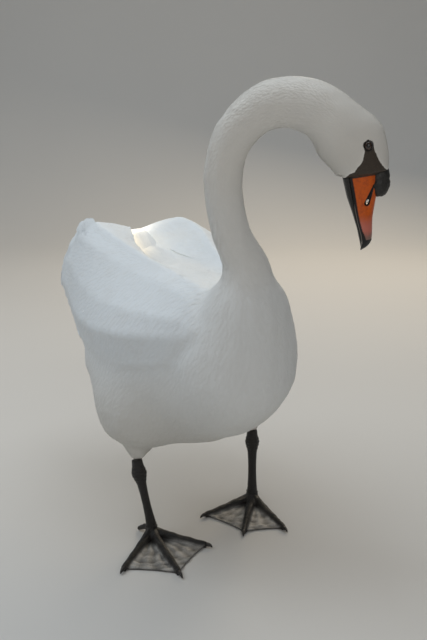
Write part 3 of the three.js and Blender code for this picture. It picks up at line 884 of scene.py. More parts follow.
def scattered(spacing, seed):
    # roots all over the skin, no two on one side of it nearer than the spacing there
    rng = np.random.default_rng(seed)
    corners = skinPoints[skinTriangles]
    across = np.cross(corners[:, 1] - corners[:, 0], corners[:, 2] - corners[:, 0])
    weights = np.linalg.norm(across, axis=1) / spacing[skinTriangles].mean(1) ** 2
    wanted = int(1.6 * weights.sum())
    faces = rng.choice(len(skinTriangles), wanted, p=weights / weights.sum())
    split = rng.random((wanted, 2))
    split = np.where(split.sum(1, keepdims=True) > 1, 1 - split, split)
    shares = np.stack([1 - split.sum(1), split[:, 0], split[:, 1]], 1)
    places = read(skinPoints, faces, shares)
    normals = read(skinNormals, faces, shares)
    reach = read(spacing, faces, shares)
    near = treeOf(places)
    kept = np.ones(wanted, bool)
    for index, place in enumerate(places.tolist()):
        if not kept[index]:
            continue
        for _, other, _ in near.find_range(place, float(reach[index])):
            if other > index and normals[index] @ normals[other] > 0:
                kept[other] = False
    return places[kept], faces[kept], shares[kept]


# Plumage materials.
mask = {
    # the bare black face seen from the side in the head's frame: [along the bill, height], millimetres
    "lower": [(-7.5, 0), (-4, -5.6), (0, -6.6), (6, -4.6), (17, -7.8), (21, -10), (26, -15.4), (31, -18.8)]
    + [(33, -25), (41, -35), (44, -46)],
    "upper": [(-7.5, 0), (-4, 5.6), (0, 6.6), (6, 6.9), (19, 11.2), (26, 15), (33, 20), (35, 30), (46, 44)],
    "edge": 0.5,
    "wobble": 1.6,
}
plumage = {
    "cool": (0.80, 0.845, 0.88),
    "warm": (0.81, 0.785, 0.735),
    "deep": (0.71, 0.71, 0.69),
    "underShade": (0.50, 0.46, 0.39),  # painted shade over the underparts, a little
    "underShadeReach": (0.18, 0.34, 0.52),  # height up to which the painted shade is full, height where it ends, and its strength
    "roughness": 0.72,
    "sheen": 0.12,
    # barbs along one vane, the height of their relief and how much single vanes are darker
    "vanes": {"contour_feather": (26, 0.08 * mm, 0.14), "flight_feather": (42, 0.18 * mm, 0.1)},
}
bare = {"black": (0.040, 0.029, 0.020), "brown": (0.078, 0.057, 0.040), "roughness": 0.42}


def inMask(points, margin):
    # true for places on the bare face, with a margin in millimetres
    local = toHead(points)
    along, _, high = local.T
    low, top = (np.interp(along, *zip(*mask[name])) for name in ("lower", "upper"))
    near = (along > mask["lower"][0][0] - margin) & (np.linalg.norm(local, axis=1) < 150)
    return near & (high > low - margin) & (high < top + margin)


def white(start):
    # the plumage's white, cooler on the wings and warmer up the neck, a little uneven, and darker low on the
    # body with painted shade
    place = placeOf(start)
    clouds = place.noise(26, 3, 0.55)
    base = numberOf(start, "warm").mixed(plumage["cool"], plumage["warm"])
    base = (clouds.rise(0.42, 0.75) * 0.16).mixed(base, plumage["deep"])
    # painted shade: the white darkens towards the floor, below these heights
    low, high, strength = plumage["underShadeReach"]
    return ((1 - (place.part(2) + clouds * 0.05).rise(low, high)) * strength).mixed(base, plumage["underShade"])


def makeVaneMaterial(name):
    barbs, depth, shade = plumage["vanes"][name]
    fixed = {"Roughness": plumage["roughness"], "Sheen Weight": plumage["sheen"], "Specular IOR Level": 0.35}
    material, start, shader = newMaterial(name, fixed)
    uv = start.node("UVMap", {"uv_map": "vane"})
    run = uv.part(1)
    aside = (uv.part(0) - 0.5).size() * 2
    barb = start.maths("SINE", (run - aside * 0.45) * (barbs * 2 * math.pi))
    shaft = 1 - aside.rise(0.02, 0.07)
    # each vane is darker at random by its tone, and darker towards its root, under the feather lying over it:
    # painted shade
    dark = numberOf(start, "tone") * shade + (1 - run.rise(0.0, 0.5)) * 0.1
    feed(shader, dark.mixed(white(start), plumage["deep"]), None, barb * 0.5 + shaft, 0.5, depth)
    return material


def makeSkinMaterial():
    material, start, shader = newMaterial("skin", {"Specular IOR Level": 0.4})
    along, _, high = headPlace(start)
    wobble = (placeOf(start).noise(420, 2) - 0.5) * mask["wobble"]
    soft = mask["edge"]
    dark = (high - along.follow(mask["lower"]) + wobble).rise(-soft, soft)
    dark = dark * (along.follow(mask["upper"]) - high + wobble).rise(-soft, soft)
    dark = dark * along.rise(mask["lower"][0][0] - 1, mask["lower"][0][0])
    dark = dark * (1 - along.rise(138, 140))
    grain = placeOf(start).noise(900, 3, 0.6)
    black = grain.rise(0.35, 0.8).mixed(bare["black"], bare["brown"])
    rough = dark * (bare["roughness"] - 0.8) + 0.8
    relief = placeOf(start).noise(700, 4, 0.7)  # pores
    feed(shader, dark.mixed(white(start), black), rough, relief, 0.6, 0.0006)
    return material


vaneMaterial = makeVaneMaterial("contour_feather")
bladeMaterial = makeVaneMaterial("flight_feather")
skinMaterial = makeSkinMaterial()

warmth = {"trunk": 0.45, "neck_lower": 0.75, "neck": 0.95, "head": 1.0, "thigh": 0.7, "wing": 0.0}
skinWarm = diffused(byPart(skinParts, warmth), skinEdges, 120)
skinPiece = addPiece("skin", skinMesh, skinMaterial, fleshNodes)
setNumbers(skinMesh, "warm", skinWarm)
unwrap(skinPiece)
cornerLoops = np.empty(len(skinTriangles) * 3, np.int32)
skinMesh.calc_loop_triangles()
skinMesh.loop_triangles.foreach_get("loops", cornerLoops)
skinMap = np.empty(len(skinMesh.loops) * 2)
skinMesh.uv_layers["OFBake"].data.foreach_get("uv", skinMap)
cornerMap = skinMap.reshape(-1, 2)[cornerLoops.reshape(-1, 3)]
print("skin unwrapped")


def patchesAt(faces, shares):
    # where roots lie on the skin's unwrap
    return (cornerMap[faces] * shares[..., None]).sum(1)


# Growing the coat.
coatLooks = [
    # up to this length in millimetres, stations along, and the blade's look
    (6.5, [0, 0.5, 1], {"columns": 3, "lift": 0.5}),
    (12.5, [0, 0.4, 0.75, 1], {"columns": 3, "lift": 0.6}),
    (99, [0, 0.3, 0.58, 0.82, 1], {"columns": 5, "lift": 0.28}),
]
coatShape = {
    "outline": [(0, 0.45), (0.3, 0.9), (0.6, 1), (0.85, 0.8), (1, 0.5)],
    "rise": [(0, -0.6), (0.3, 0.3), (0.7, 0.8), (1, 1.0)],
    "camber": 0.085,
    "round": 0.55,
    "fray": 0.25,
    "crown": 0.22,
}


def growCoat():
    skinGaps = rimGaps()
    most = np.maximum(coat["rimLength"] * mm + skinGaps, coat["rimLeast"] * mm)
    lengths = np.minimum(coatLengths(), most)
    roots, faces, shares = scattered(lengths * coat["spacing"], coat["seed"])
    size = read(lengths, faces, shares)
    owners = skinParts[skinTriangles[faces, 0]]
    local = toHead(roots)
    onBill = (local[:, 0] > coat["billFrom"]) & (np.linalg.norm(local, axis=1) < 140)
    clear = ~inMask(roots, 0.3) & ~onBill
    gaps = read(skinGaps, faces, shares)
    leftSide = roots[:, 1] > bodyOrigin[1]
    inward = read(skinNormals, faces, shares)[:, 1] * np.where(leftSide, 1, -1) < 0.1
    inward &= partOf(owners, "wing_left") | partOf(owners, "wing_right")
    clear &= gaps > np.where(inward, coat["lipBare"], coat["rimBare"]) * mm
    fromLip = ((roots - bodyOrigin) / mm - coat["smoothAt"]) / coat["smoothReach"]
    clear &= np.linalg.norm(fromLip, axis=1) > 1
    rump = (owners == 0) & (roots[:, 0] < bodyOrigin[0] + coat["rump"][1] * mm)
    loose = rump & (gaps > coat["loose"] * mm)
    group = owners * 2 + leftSide
    ahead = roots[:, 0] > bodyOrigin[0] + coat["split"] * mm
    group[owners == 0] += 100 * ahead[owners == 0]
    rng = np.random.default_rng(coat["seed"] + 1)
    size = size * rng.uniform(1 - coat["uneven"], 1 + coat["uneven"], len(size))
    turns = rng.normal(0, coat["stray"], len(size))
    for number in np.unique(group[clear]):
        members = clear & (group == number)
        owner = fleshNodes[int(owners[members][0])]
        for order, (longest, stations, look) in enumerate(coatLooks):
            shortest = coatLooks[order - 1][0] if order else 0
            chosen = np.flatnonzero(members & (size / mm > shortest) & (size / mm <= longest))
            if not len(chosen):
                continue
            steps = np.diff(stations)[:, None] * size[chosen]
            path, sky = laid(roots[chosen], steps, turns[chosen], loose[chosen])
            look = {**coatShape, **look}
            if owner.startswith("wing"):
                look = {**look, "lift": coat["wingLift"], "columns": 5}
            flat, quads = bladeGrid(path, sky, size[chosen] * coat["width"], look, coat["seed"] + order)
            name = f"coat_{owner}_{int(number)}_{order}"
            patches = patchesAt(faces[chosen], shares[chosen])
            warm = read(skinWarm, faces[chosen], shares[chosen])
            featherPiece(name, flat, quads, patches, warm, vaneMaterial)
            print(name, len(chosen), "feathers,", len(quads) * 2, "triangles")


def rimGaps():
    # how far each of the skin's points is from the nearer wing's rim or from its sharp lip
    agreed = np.linalg.norm(diffused(skinNormals, skinEdges, 4), axis=1)
    wings = partOf(skinParts, "wing_left") | partOf(skinParts, "wing_right")
    edges = np.concatenate([*rims.values(), skinPoints[wings & (agreed < coat["sharp"])]])
    near = treeOf(edges)
    return np.array([near.find(place)[2] for place in skinPoints.tolist()])


growCoat()


# Wings: the long feathers whose tips make the rims.
wing = {
    "lean": 0.75,  # how much the feathers lie back rather than straight out to the rim
    "leaves": 11,  # where they leave the surface, ahead of the rim's own edge
    "past": [(0, 2), (0.36, 4), (0.5, 9), (0.6, 14), (0.8, 20), (0.9, 14), (1, 8)],  # how far they pass it
    "reach": 55 * mm,  # how far to either side the surface is sought
    "ragged": 7,
    # how much single feathers differ: in place, turn, length and width
    "uneven": {"place": 0.12, "turn": 0.05, "length": 0.1, "half": 0.15},
    "stations": 15,
    "span": {"left": (0.68, 0.94), "right": (0.5, 0.94)},  # from here to here along the rim
    "length": 60,
    "half": 11.5,
    "pitch": 11.5,
    "beyond": (0.3, 0.28, 0.24, 0.18),  # the stations past where they leave, as shares of the way
    "curl": -0.03,  # each of these bends in by this much
    "flare": {"left": (-0.6, -0.3), "right": (-0.3, 0.14)},  # how far bunches of them turn outwards there
    "seed": 5,
}
bladeShape = {
    "columns": 9,
    "outline": [(0, 0.5), (0.25, 0.85), (0.6, 1), (0.84, 1.0), (0.93, 0.88), (1, 0.58)],
    "rise": [(0, -2.6), (0.3, -0.9), (0.62, 0.3), (1, 1.0)],
    "camber": 0.03,
    "round": 0.42,
    "fray": 0.10,
    "notch": 0.10,
    "roll": 0.045,
    "crown": 0.24,
    "lift": 0.5,
    "thick": 0.45 * mm,
}


def facing(places, face):
    # the places brought onto the skin along the body's width, from one side
    aim = Vector((0, -face, 0))
    found, normals = places.copy(), np.zeros_like(places)
    for index, place in enumerate(places.tolist()):
        start = Vector((place[0], place[1] + face * wing["reach"], place[2]))
        hit, normal, _, _ = skinTree.ray_cast(start, aim, 2 * wing["reach"])
        if hit is not None:
            found[index] = hit
            normals[index] = normal
    return found, normals


def wingRow(side):
    rng = np.random.default_rng(wing["seed"] + sides[side])
    uneven = wing["uneven"]
    rim = rims[side]
    first, last = (share * (len(rim) - 1) for share in wing["span"][side])
    spots = np.arange(first, last, wing["pitch"] / 2)
    moved = rng.uniform(-uneven["place"], uneven["place"], len(spots)) * wing["pitch"]
    spots = np.clip(spots + moved, 0, len(rim) - 1)
    edge = sampled(eased(rim, 8), np.arange(len(rim)), spots)
    count = len(edge)
    heart = fromBody([flow["rimCentre"][0], 0, flow["rimCentre"][1]])
    out = edge - heart
    out[:, 1] = 0
    out = unit(unit(out) + [-wing["lean"], 0, 0])
    turns = rng.normal(0, uneven["turn"], count)
    out = out * np.cos(turns)[:, None] + np.cross([0, 1, 0], out) * np.sin(turns)[:, None]
    past = np.interp(spots / len(rim), *zip(*wing["past"]))
    past = (past + rng.uniform(-0.6, 1, count) * wing["ragged"]) * mm
    length = wing["length"] * rng.uniform(1 - uneven["length"], 1 + uneven["length"], count) * mm
    face = sides[side]
    leaves = wing["leaves"] * mm
    path, sky = [], []
    for share in np.linspace(1, 0, wing["stations"] - len(wing["beyond"])) ** 0.9:
        spot = edge - out * (leaves + (length - leaves) * share)[:, None]
        place, normal = facing(spot, face)
        path.append(place)
        sky.append(normal)
    path, sky = np.array(path), np.array(sky)
    missed = np.linalg.norm(sky, axis=-1) < 0.5
    sky[missed] = [0, face, 0]
    path, sky, missed = eased(path, 3).swapaxes(0, 1), eased(sky, 3).swapaxes(0, 1), missed.T
    sky = unit(sky)
    ahead = unit(path[:, -1] - path[:, -3])
    bunches = rng.uniform(*wing["flare"][side], count // 4 + 2)
    flare = np.interp(np.arange(count) / 4, np.arange(len(bunches)), bunches)
    ahead[:, 1] = face * (flare + rng.uniform(-0.05, 0.05, count))
    ahead = unit(ahead)
    beyond = leaves + past
    for share in wing["beyond"]:
        last = unit(sky[:, -1] - (sky[:, -1] * ahead).sum(-1, keepdims=True) * ahead)
        turned = unit(last - wing["curl"] * ahead)
        ahead = unit(ahead + wing["curl"] * last)
        path = np.concatenate([path, (path[:, -1] + ahead * (beyond * share)[:, None])[:, None]], 1)
        sky = np.concatenate([sky, turned[:, None]], 1)
    keep = missed.sum(1) < 3
    half = wing["half"] * rng.uniform(1 - uneven["half"], 1 + uneven["half"], count) * mm
    return path[keep], sky[keep], half[keep]


def bladePiece(name, path, sky, half, look, seed, warm=None):
    # long feathers as one piece, each as warm as the skin at its root where no number says it
    flat, quads = bladeGrid(path, sky, np.full(len(path), half), {**bladeShape, **look}, seed)
    _, faces, shares = onSkin(path[:, 0])
    warm = read(skinWarm, faces, shares) if warm is None else np.full(len(path), warm)
    patches = patchesAt(faces, shares)
    return featherPiece(name, flat, quads, patches, warm, bladeMaterial)


for side in sides:
    bladePiece("wing_feathers_" + side, *wingRow(side), {}, wing["seed"])
print("wing feathers laid")


# Tail and the folded flight feathers behind the wings.
tail = {
    "root": (-284, 30, 318),  # in the body's frame: back, spread, height
    "tip": (-477, 62, 311),
    "graded": 70,  # how much shorter the outermost are
    "half": 13,
    "sag": 0.0042,
    "droop": 5,  # how much lower the outermost lie than the middle ones
    "tilt": 0.35,  # how far they face outwards
    "uneven": 3,
    "layers": [(1.0, 20, 0.0), (0.7, 15, 1.1), (0.5, 13, 2.0), (0.33, 11, 2.6)],  # reach, feathers, height
    "stations": 12,
    "warm": 0.25,
}
coverts = {
    "rows": [(-272, -352), (-255, -333), (-236, -314)],  # from here on the rump to here over the tail
    "rump": [(-330, 312), (-300, 334), (-280, 341), (-250, 347), (-200, 348)],  # heights they leave
    "over": 3.6,  # how far they lie above the tail
    "count": 11,
    "half": 9.5,
}
flight = {
    "feathers": 9,
    "route": [(-238, 106, 335), (-312, 91, 342), (-392, 61, 346), (-458, 33, 344)],
    "spread": (-13, 15),  # from the lowest feather to the highest
    "fan": (0.56, 0.8, 0.6, 0.16),  # how much of that they take up at each corner of the route
    "outward": (4, 12, 11, 5),  # how far the lowest stands out from the highest there
    "fine": 60,  # points on the route that each one's stations are cut from
    "length": 240,  # of the route, for the stagger
    "half": 8.5,
    "stagger": 13,  # each one above ends this much sooner
    "stations": 14,
    "warm": 0.1,
}


def rounded(corners, rounds=4):
    # a polyline's corners cut again and again, its ends kept
    for _ in range(rounds):
        near = 0.75 * corners[:-1] + 0.25 * corners[1:]
        far = 0.25 * corners[:-1] + 0.75 * corners[1:]
        middle = np.stack([near, far], 1).reshape(-1, 3)
        corners = np.concatenate([corners[:1], middle, corners[-1:]])
    return corners


def tailPath(place, reach, above, rng):
    # one tail feather's path; the middle ones lie on top of their neighbours
    rootX, rootSpread, rootHeight = tail["root"]
    tipX, tipSpread, tipHeight = tail["tip"]
    tipX += tail["graded"] * place**2 + rng.uniform(-tail["uneven"], tail["uneven"])
    share = np.linspace(0, 1, tail["stations"]) * reach
    back = rootX + (tipX - rootX) * share
    aside = place * (rootSpread + (tipSpread - rootSpread) * np.sin(share * math.pi / 2) ** 0.9)
    high = rootHeight + (tipHeight - rootHeight) * share - tail["sag"] * aside**2
    return np.stack([back, aside, high - tail["droop"] * abs(place) + above], 1)


def addRump():
    # coverts from the rump down over the tail's root
    rng = np.random.default_rng(22)
    count = coverts["count"]
    for row, (start, end) in enumerate(coverts["rows"]):
        paths = []
        for place in np.linspace(-1, 1, count) + rng.uniform(-0.03, 0.03, count):
            path = []
            for share in (0, 0.25, 0.5):
                back = start + (end - start) * share
                aside = place * (24 + 6 * share)
                high = np.interp(back, *zip(*coverts["rump"])) - 0.006 * aside**2
                path.append([back, aside, high - 1.5 + 5 * share])
            for share in (0.75, 1.0):
                back = start + (end - start) * share
                aside = place * (27 + 14 * share)
                high = tailPath(0, 1, coverts["over"], rng)[0][2]
                path.append([back, aside, high - 0.004 * aside**2 - 4 * abs(place)])
            paths.append(evenCount(rounded(np.array(path)), tail["stations"]))
        tilts = tail["tilt"] * np.linspace(-1, 1, count)
        sky = unit(np.stack([np.full(count, -0.35), tilts, np.ones(count)], 1))
        sky = np.repeat(sky[:, None], tail["stations"], 1)
        look = {"roll": 0.03, "notch": 0.06, "camber": 0.06, "fray": 0.08}
        path = fromBody(np.array(paths))
        bladePiece(f"rump_feathers_{row}", path, sky, coverts["half"] * mm, look, 50 + row, tail["warm"])


tertials = {
    # the middle one's path in the body's frame
    "path": [(-196, -2, 418), (-238, 1, 438), (-275, 6, 448), (-308, 13, 446), (-332, 20, 440)],
    "spread": (-12, 13),  # how far aside of it the outermost lie
    "count": 5,
    "half": 10.5,
    "sky": (0.3, -0.25, 1),
    "warm": 0.3,
}


def addTertials():
    # the long feathers over the back, deep between the wings
    rng = np.random.default_rng(24)
    asides = np.linspace(*tertials["spread"], tertials["count"])
    middle = evenCount(rounded(np.array(tertials["path"], float)), tail["stations"])
    path = np.repeat(middle[None], len(asides), 0)
    path[:, :, 1] += asides[:, None]
    path[:, :, 2] += rng.uniform(-1.5, 1.5, len(asides))[:, None]
    sky = np.broadcast_to(unit(np.array(tertials["sky"], float)), path.shape)
    look = {"roll": 0.05, "notch": 0.06, "camber": 0.06, "fray": 0.08}
    bladePiece("tertials", fromBody(path), sky, tertials["half"] * mm, look, 60, tertials["warm"])


def addTail():
    rng = np.random.default_rng(21)
    for layer, (reach, count, above) in enumerate(tail["layers"]):
        for half in (0, 1):
            places = np.linspace(0, 1, (count + 1) // 2) * (1, -1)[half]
            path = np.array([tailPath(place, reach, above, rng) for place in places])
            sky = np.stack([np.full(len(places), 0.04), tail["tilt"] * places, np.ones(len(places))], 1)
            sky = unit(np.repeat(sky[:, None], tail["stations"], 1))
            look = {"roll": 0.09 * (1, -1)[half], "notch": 0.06, "camber": 0.05, "fray": 0.08}
            name = f"tail_feathers_{layer}_{half}"
            seed = 30 + layer
            piece = bladePiece(name, fromBody(path), sky, tail["half"] * mm, look, seed, tail["warm"])
            if layer == 0 and half == 0:
                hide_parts("tail")


def addFlightFeathers():
    rng = np.random.default_rng(23)
    for side, sign in sides.items():
        paths, skies = [], []
        for number in range(flight["feathers"]):
            place = number / (flight["feathers"] - 1)
            low, high = flight["spread"]
            route = np.array(flight["route"], float)
            route[:, 2] += (low + (high - low) * place) * np.array(flight["fan"])
            route[:, 1] += np.array(flight["outward"]) * (0.5 - place)
            route[-1] += (route[-2] - route[-1]) * 0.5 * (1 - place)
            route[-1, 0] += rng.uniform(-3, 3)
            route[:, 1] *= sign
            curve = evenCount(rounded(route), flight["fine"])
            ends = 1 - number * flight["stagger"] / flight["length"]
            curve = evenCount(curve[: int(flight["fine"] * ends)], flight["stations"])
            paths.append(curve)
            skies.append(np.broadcast_to([0.1, sign * (0.9 - 0.35 * place), 0.35 + 0.5 * place], curve.shape))
        look = {"roll": -0.12 * sign, "notch": 0.04, "fray": 0.06, "round": 0.8}
        name = "primaries_" + side + "_feathers"
        path, sky = fromBody(np.array(paths)), unit(np.array(skies))
        piece = bladePiece(name, path, sky, flight["half"] * mm, look, 40, flight["warm"])
        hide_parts("primaries_" + side)


addTail()
addRump()
addTertials()
addFlightFeathers()
print("tail and flight feathers")


# Bill: horn sheath, nail, lower mandible, knob and nostrils.
def ringGrid(rings):
    # the quads between rings of equal length, with their points' numbers and the next ones round
    count, around, _ = rings.shape
    grid = np.arange(count * around).reshape(count, around)
    after = np.roll(grid, -1, axis=1)
    return np.stack([grid[:-1], grid[1:], after[1:], after[:-1]], -1).reshape(-1, 4), grid, after


def lofted(rings):
    # a closed skin over rings in the head's frame, with a fan over both ends
    quads, grid, after = ringGrid(rings)
    points = np.concatenate([rings.reshape(-1, 3), [rings[0].mean(0), rings[-1].mean(0)]])
    start = np.stack([grid[0], after[0], np.full(len(grid[0]), grid.size)], -1)
    stop = np.stack([after[-1], grid[-1], np.full(len(grid[0]), grid.size + 1)], -1)
    return fromHead(points), quads, np.concatenate([start, stop])


def solidMesh(name, points, quads, fans):
    # a closed mesh from quads and end triangles, its faces turned out
    mesh = bpy.data.meshes.new(name)
    with opened(mesh) as sheet:
        corners = [sheet.verts.new(point) for point in points.tolist()]
        for face in quads.tolist() + fans.tolist():
            sheet.faces.new([corners[index] for index in face])
        bmesh.ops.recalc_face_normals(sheet, faces=sheet.faces)
    movePoints(mesh, points)
    return mesh


def inNostril(along, high):
    # how far a place on the bill's side lies inside the nostril's groove, and how far along it
    start, end = (np.array(bill["nostril"][key], float) for key in ("from", "to"))
    course = end - start
    share = ((along - start[0]) * course[0] + (high - start[1]) * course[1]) / (course @ course)
    held = np.clip(share, 0, 1)
    gap = np.hypot(along - start[0] - held * course[0], high - start[1] - held * course[1])
    narrow, gain, late = bill["taper"]
    half = bill["nostril"]["half"] * (narrow + gain * held**late)
    return 1 - smooth(*bill["soft"], gap / half), held


def upperBill(swell, first, last, stations):
    share = np.linspace(0, 1, stations)
    places = first + (last - first) * (1 - (1 - share) ** 1.35)
    rings = []
    for along in places:
        end = max(along - 124, 0) / 8
        ridge, edge, half = (curved(bill[key], along) for key in ("culmen", "edge", "halfWidth"))
        half = half * math.sqrt(max(1 - min(end, 1) ** 4, 0.02))
        rings.append(arch(along, ridge + swell, edge - swell * 0.3, half + swell, 0.8, bill["around"]))
    return np.array(rings)


def sculptedBill():
    rings = upperBill(0, bill["root"], bill["tip"], bill["stations"])
    along, across, high = rings[..., 0], rings[..., 1], rings[..., 2]
    groove, held = inNostril(along, high)
    groove = groove * (np.abs(across) > 4)
    inward = bill["nostril"]["deep"] * groove * (0.35 + 0.65 * held)
    facts = bill["lip"]
    lip = np.exp(-(((high - curved(bill["edge"], along) - facts["up"]) / facts["reach"]) ** 2))
    lip = lip * smooth(*facts["from"], along) * (1 - smooth(*facts["to"], along))
    side = np.abs(across) > 0.6 * curved(bill["halfWidth"], along)
    across = across - np.sign(across) * (inward + facts["deep"] * lip * side)
    facts = bill["brow"]
    gaps = [(line - at) / reach for line, at, reach in zip((along, high), facts["at"], facts["reach"])]
    brow = np.exp(-(gaps[0] ** 2)) * np.exp(-(gaps[1] ** 2)) * (1 - groove)
    across = across + np.sign(across) * facts["proud"] * brow * (np.abs(across) > 3)
    grain = bill["grain"] * np.sin(high * 2.1 + 3 * np.sin(along * 0.2)) * side
    rings = np.stack([along, across + np.sign(across) * grain, high], -1)
    return solidMesh("bill", *lofted(rings))


def nailRings():
    nail = bill["nail"]
    rings = upperBill(nail["proud"], nail["from"], bill["tip"] + 0.7, 26)
    along, across, high = rings[..., 0], rings[..., 1], rings[..., 2]
    start = smooth(nail["from"], nail["from"] + 3, along)
    limit = nail["half"] * np.sqrt(np.clip((along - nail["from"] + 0.6) / 4, 0, 1))
    across = np.clip(across, -limit, limit)
    floor = curved(bill["culmen"], along) - nail["deep"] - 4 * smooth(122, 131, along)
    high = np.maximum(high, floor) - (1 - start) * 0.7
    return np.stack([along, across, high], -1)


def lowerRings():
    rings = []
    for along in np.linspace(bill["root"] + 1, 127, 50):
        edge = curved(bill["edge"], along) - 0.35
        keel = curved(bill["keel"], along)
        half = curved(bill["halfWidth"], along) * bill["under"] - 0.2
        rings.append(arch(along, keel, edge, half, 0.72, 30))
    return np.array(rings)


def cutNostril(mesh):
    # the two nostrils open into each other
    wide, long = bill["nostril"]["hole"]
    centre = np.array(bill["nostril"]["to"]) - (1.4, -0.6)
    turns = np.linspace(0, 2 * math.pi, 28, endpoint=False)
    course = np.subtract(bill["nostril"]["to"], bill["nostril"]["from"])
    course = course / np.linalg.norm(course)
    rings = []
    for across in np.linspace(-24, 24, 13):
        flare = 1 + 0.25 * (abs(across) / 14) ** 2
        first = long * flare * np.cos(turns)
        second = wide * flare * np.sin(turns)
        along = centre[0] + first * course[0] - second * course[1]
        high = centre[1] + first * course[1] + second * course[0]
        rings.append(np.stack([along, np.full(len(turns), across), high], 1))
    cutter = addObject("cutter", solidMesh("cutter", *lofted(np.array(rings))))
    holder = addObject("holder", mesh)
    cut = holder.modifiers.new("cut", "BOOLEAN")
    cut.operation = "DIFFERENCE"
    cut.object = cutter
    cut.solver = "EXACT"
    made = applied(holder)
    bpy.data.objects.remove(cutter)
    movePoints(made, pointsOf(made))
    return made


hornColours = {
    "orange": (0.70, 0.12, 0.006),
    "deep": (0.50, 0.078, 0.008),
    "salmon": (0.62, 0.18, 0.13),
    "grey": (0.26, 0.15, 0.125),
    "black": (0.010, 0.009, 0.008),
    "pale": (0.24, 0.21, 0.19),
}


hornRuns = {
    # where each colour begins and where it is full, along the bill
    "salmon": (90, 108),
    "grey": (110, 121),
    "nail": (118, 119.5),
    "base": (38.2, 39.2),  # black up to here
    "band": (3.6, 4.8, 2.4),  # the black edge: full up to, ends at, and how much wider at the tip
    "pale": (70, 78, 122, 125),  # the worn line on the edge: from, full, to, ends
}
darkHorns = {
    # two colours, the lowest roughness, and the fineness of the relief
    "bill_black": ((0.012, 0.011, 0.010), (0.030, 0.025, 0.021), 0.26, 650),
    "lid_skin": ((0.010, 0.009, 0.008), (0.032, 0.027, 0.023), 0.34, 900),
    "claw_horn": ((0.014, 0.012, 0.011), (0.045, 0.038, 0.032), 0.3, 700),
}


def makeHornMaterial():
    material, start, shader = newMaterial("bill_horn", {"Specular IOR Level": 0.38})
    along, _, high = headPlace(start)
    place = placeOf(start)
    patchy = place.noise(190, 4, 0.6)
    fine = place.noise(900, 3, 0.6)
    orange = patchy.rise(0.35, 0.75).mixed(hornColours["orange"], hornColours["deep"])
    colour = (along + patchy * 10).rise(*hornRuns["salmon"]).mixed(orange, hornColours["salmon"])
    colour = (along + patchy * 8).rise(*hornRuns["grey"]).mixed(colour, hornColours["grey"])
    edge = high - along.follow(bill["edge"])
    full, ends, wider = hornRuns["band"]
    band = 1 - (edge + fine * 1.2 - along.rise(104, 121) * wider).rise(full, ends)
    black = band.most(1 - (along - high.size() * 0.06 + fine * 1.4).rise(*hornRuns["base"]))
    grooveAlong, grooveHigh = grooveCourse(along, high)
    black = black.most(1 - (grooveHigh / (0.9 + grooveAlong * 2.5)).rise(0.85, 1.15))
    black = black.most((along + fine).rise(*hornRuns["nail"]))
    colour = black.mixed(colour, hornColours["black"])
    first, full, last, ends = hornRuns["pale"]
    worn = along.rise(first, full) * (1 - along.rise(last, ends))
    pale = (1 - (edge - 0.5).size().rise(0.35, 0.7)) * worn
    colour = (pale * 0.8).mixed(colour, hornColours["pale"])
    rough = fine * 0.22 + 0.26
    relief = place.noise(520, 4, 0.65, (1, 1, 0.35)) + fine * 0.35
    feed(shader, colour, rough, relief, 0.35, 0.0007)
    return material


def grooveCourse(along, high):
    # along the nostril's groove from 0 to 1, and the distance from its middle line
    x0, z0 = bill["nostril"]["from"]
    x1, z1 = bill["nostril"]["to"]
    length = (x1 - x0) ** 2 + (z1 - z0) ** 2
    share = ((along - x0) * (x1 - x0) + (high - z0) * (z1 - z0)) / length
    held = share.most(0.0).least(1.0)
    aside = along - x0 - held * (x1 - x0)
    above = high - z0 - held * (z1 - z0)
    return held, (aside * aside + above * above).root()


def makeDarkHorn(name):
    first, second, rough, pits = darkHorns[name]
    material, start, shader = newMaterial(name, {"Specular IOR Level": 0.5})
    place = placeOf(start)
    spots = place.noise(1000, 3, 0.6)
    colour = spots.rise(0.4, 0.7).mixed(first, second)
    feed(shader, colour, spots * 0.25 + rough, place.noise(pits, 4, 0.7), 0.7, 0.0007)
    return material


def addBill():
    horn = makeHornMaterial()
    black = makeDarkHorn("bill_black")
    addPiece("bill", cutNostril(sculptedBill()), horn, ["bill_upper"])
    addPiece("nail", solidMesh("nail", *lofted(nailRings())), black, ["bill_nail"])
    mesh = solidMesh("lower_bill", *lofted(lowerRings()))
    addPiece("lower_bill", mesh, black, ["bill_lower"])
    knob = remeshed(["bill_knob"], *bill["knobCells"])
    points = pointsOf(knob)
    normals = normalsOf(points, trianglesOf(knob))
    along, aside, high = toHead(points).T
    lumps = np.sin(along * 0.9 + 1.3 * np.sin(aside * 0.8)) * np.sin(high * 0.8 + 0.6 * aside)
    lumps += 0.6 * np.sin(along * 2.3 + high * 1.7) * np.sin(aside * 2.1)
    crease = np.exp(-(((along - 45) / 2.2) ** 2)) * 0.8
    points += normals * (0.35 + 0.16 * lumps - crease)[:, None] * mm
    movePoints(knob, points)
    addPiece("knob", knob, black, ["bill_knob"])
    print("bill built")


addBill()


# Eyes with their lids.
eye = {
    "radius": 6.2,
    "out": 24.5,
    "opening": (5.2, 4.4),  # half length and half height between the lids
    "seat": 7.6,  # where the lids' ring joins the skin
    "cornea": (0.35, 3.2),  # how far it stands proud, and its reach
    "turnIn": (0.86, 1.3),  # from here on along their section the lids dip inwards, by this much
    "folds": (0.16, 20),  # the height of the lids' folds, and how close they lie
    "swollen": (0.76, 0.10, 0.42),  # their edge: where it is along the section, its reach and height
    "pupil": 2.5,
    "iris": 4.6,
    "black": (0.004, 0.004, 0.004),
    "brown": (0.026, 0.011, 0.005),
    "amber": (0.060, 0.026, 0.010),
    "amberRing": 3.4,  # the radius at which the amber is strongest
    "rimColour": (0.016, 0.012, 0.010),
    "rings": 18,
    "around": 72,
}


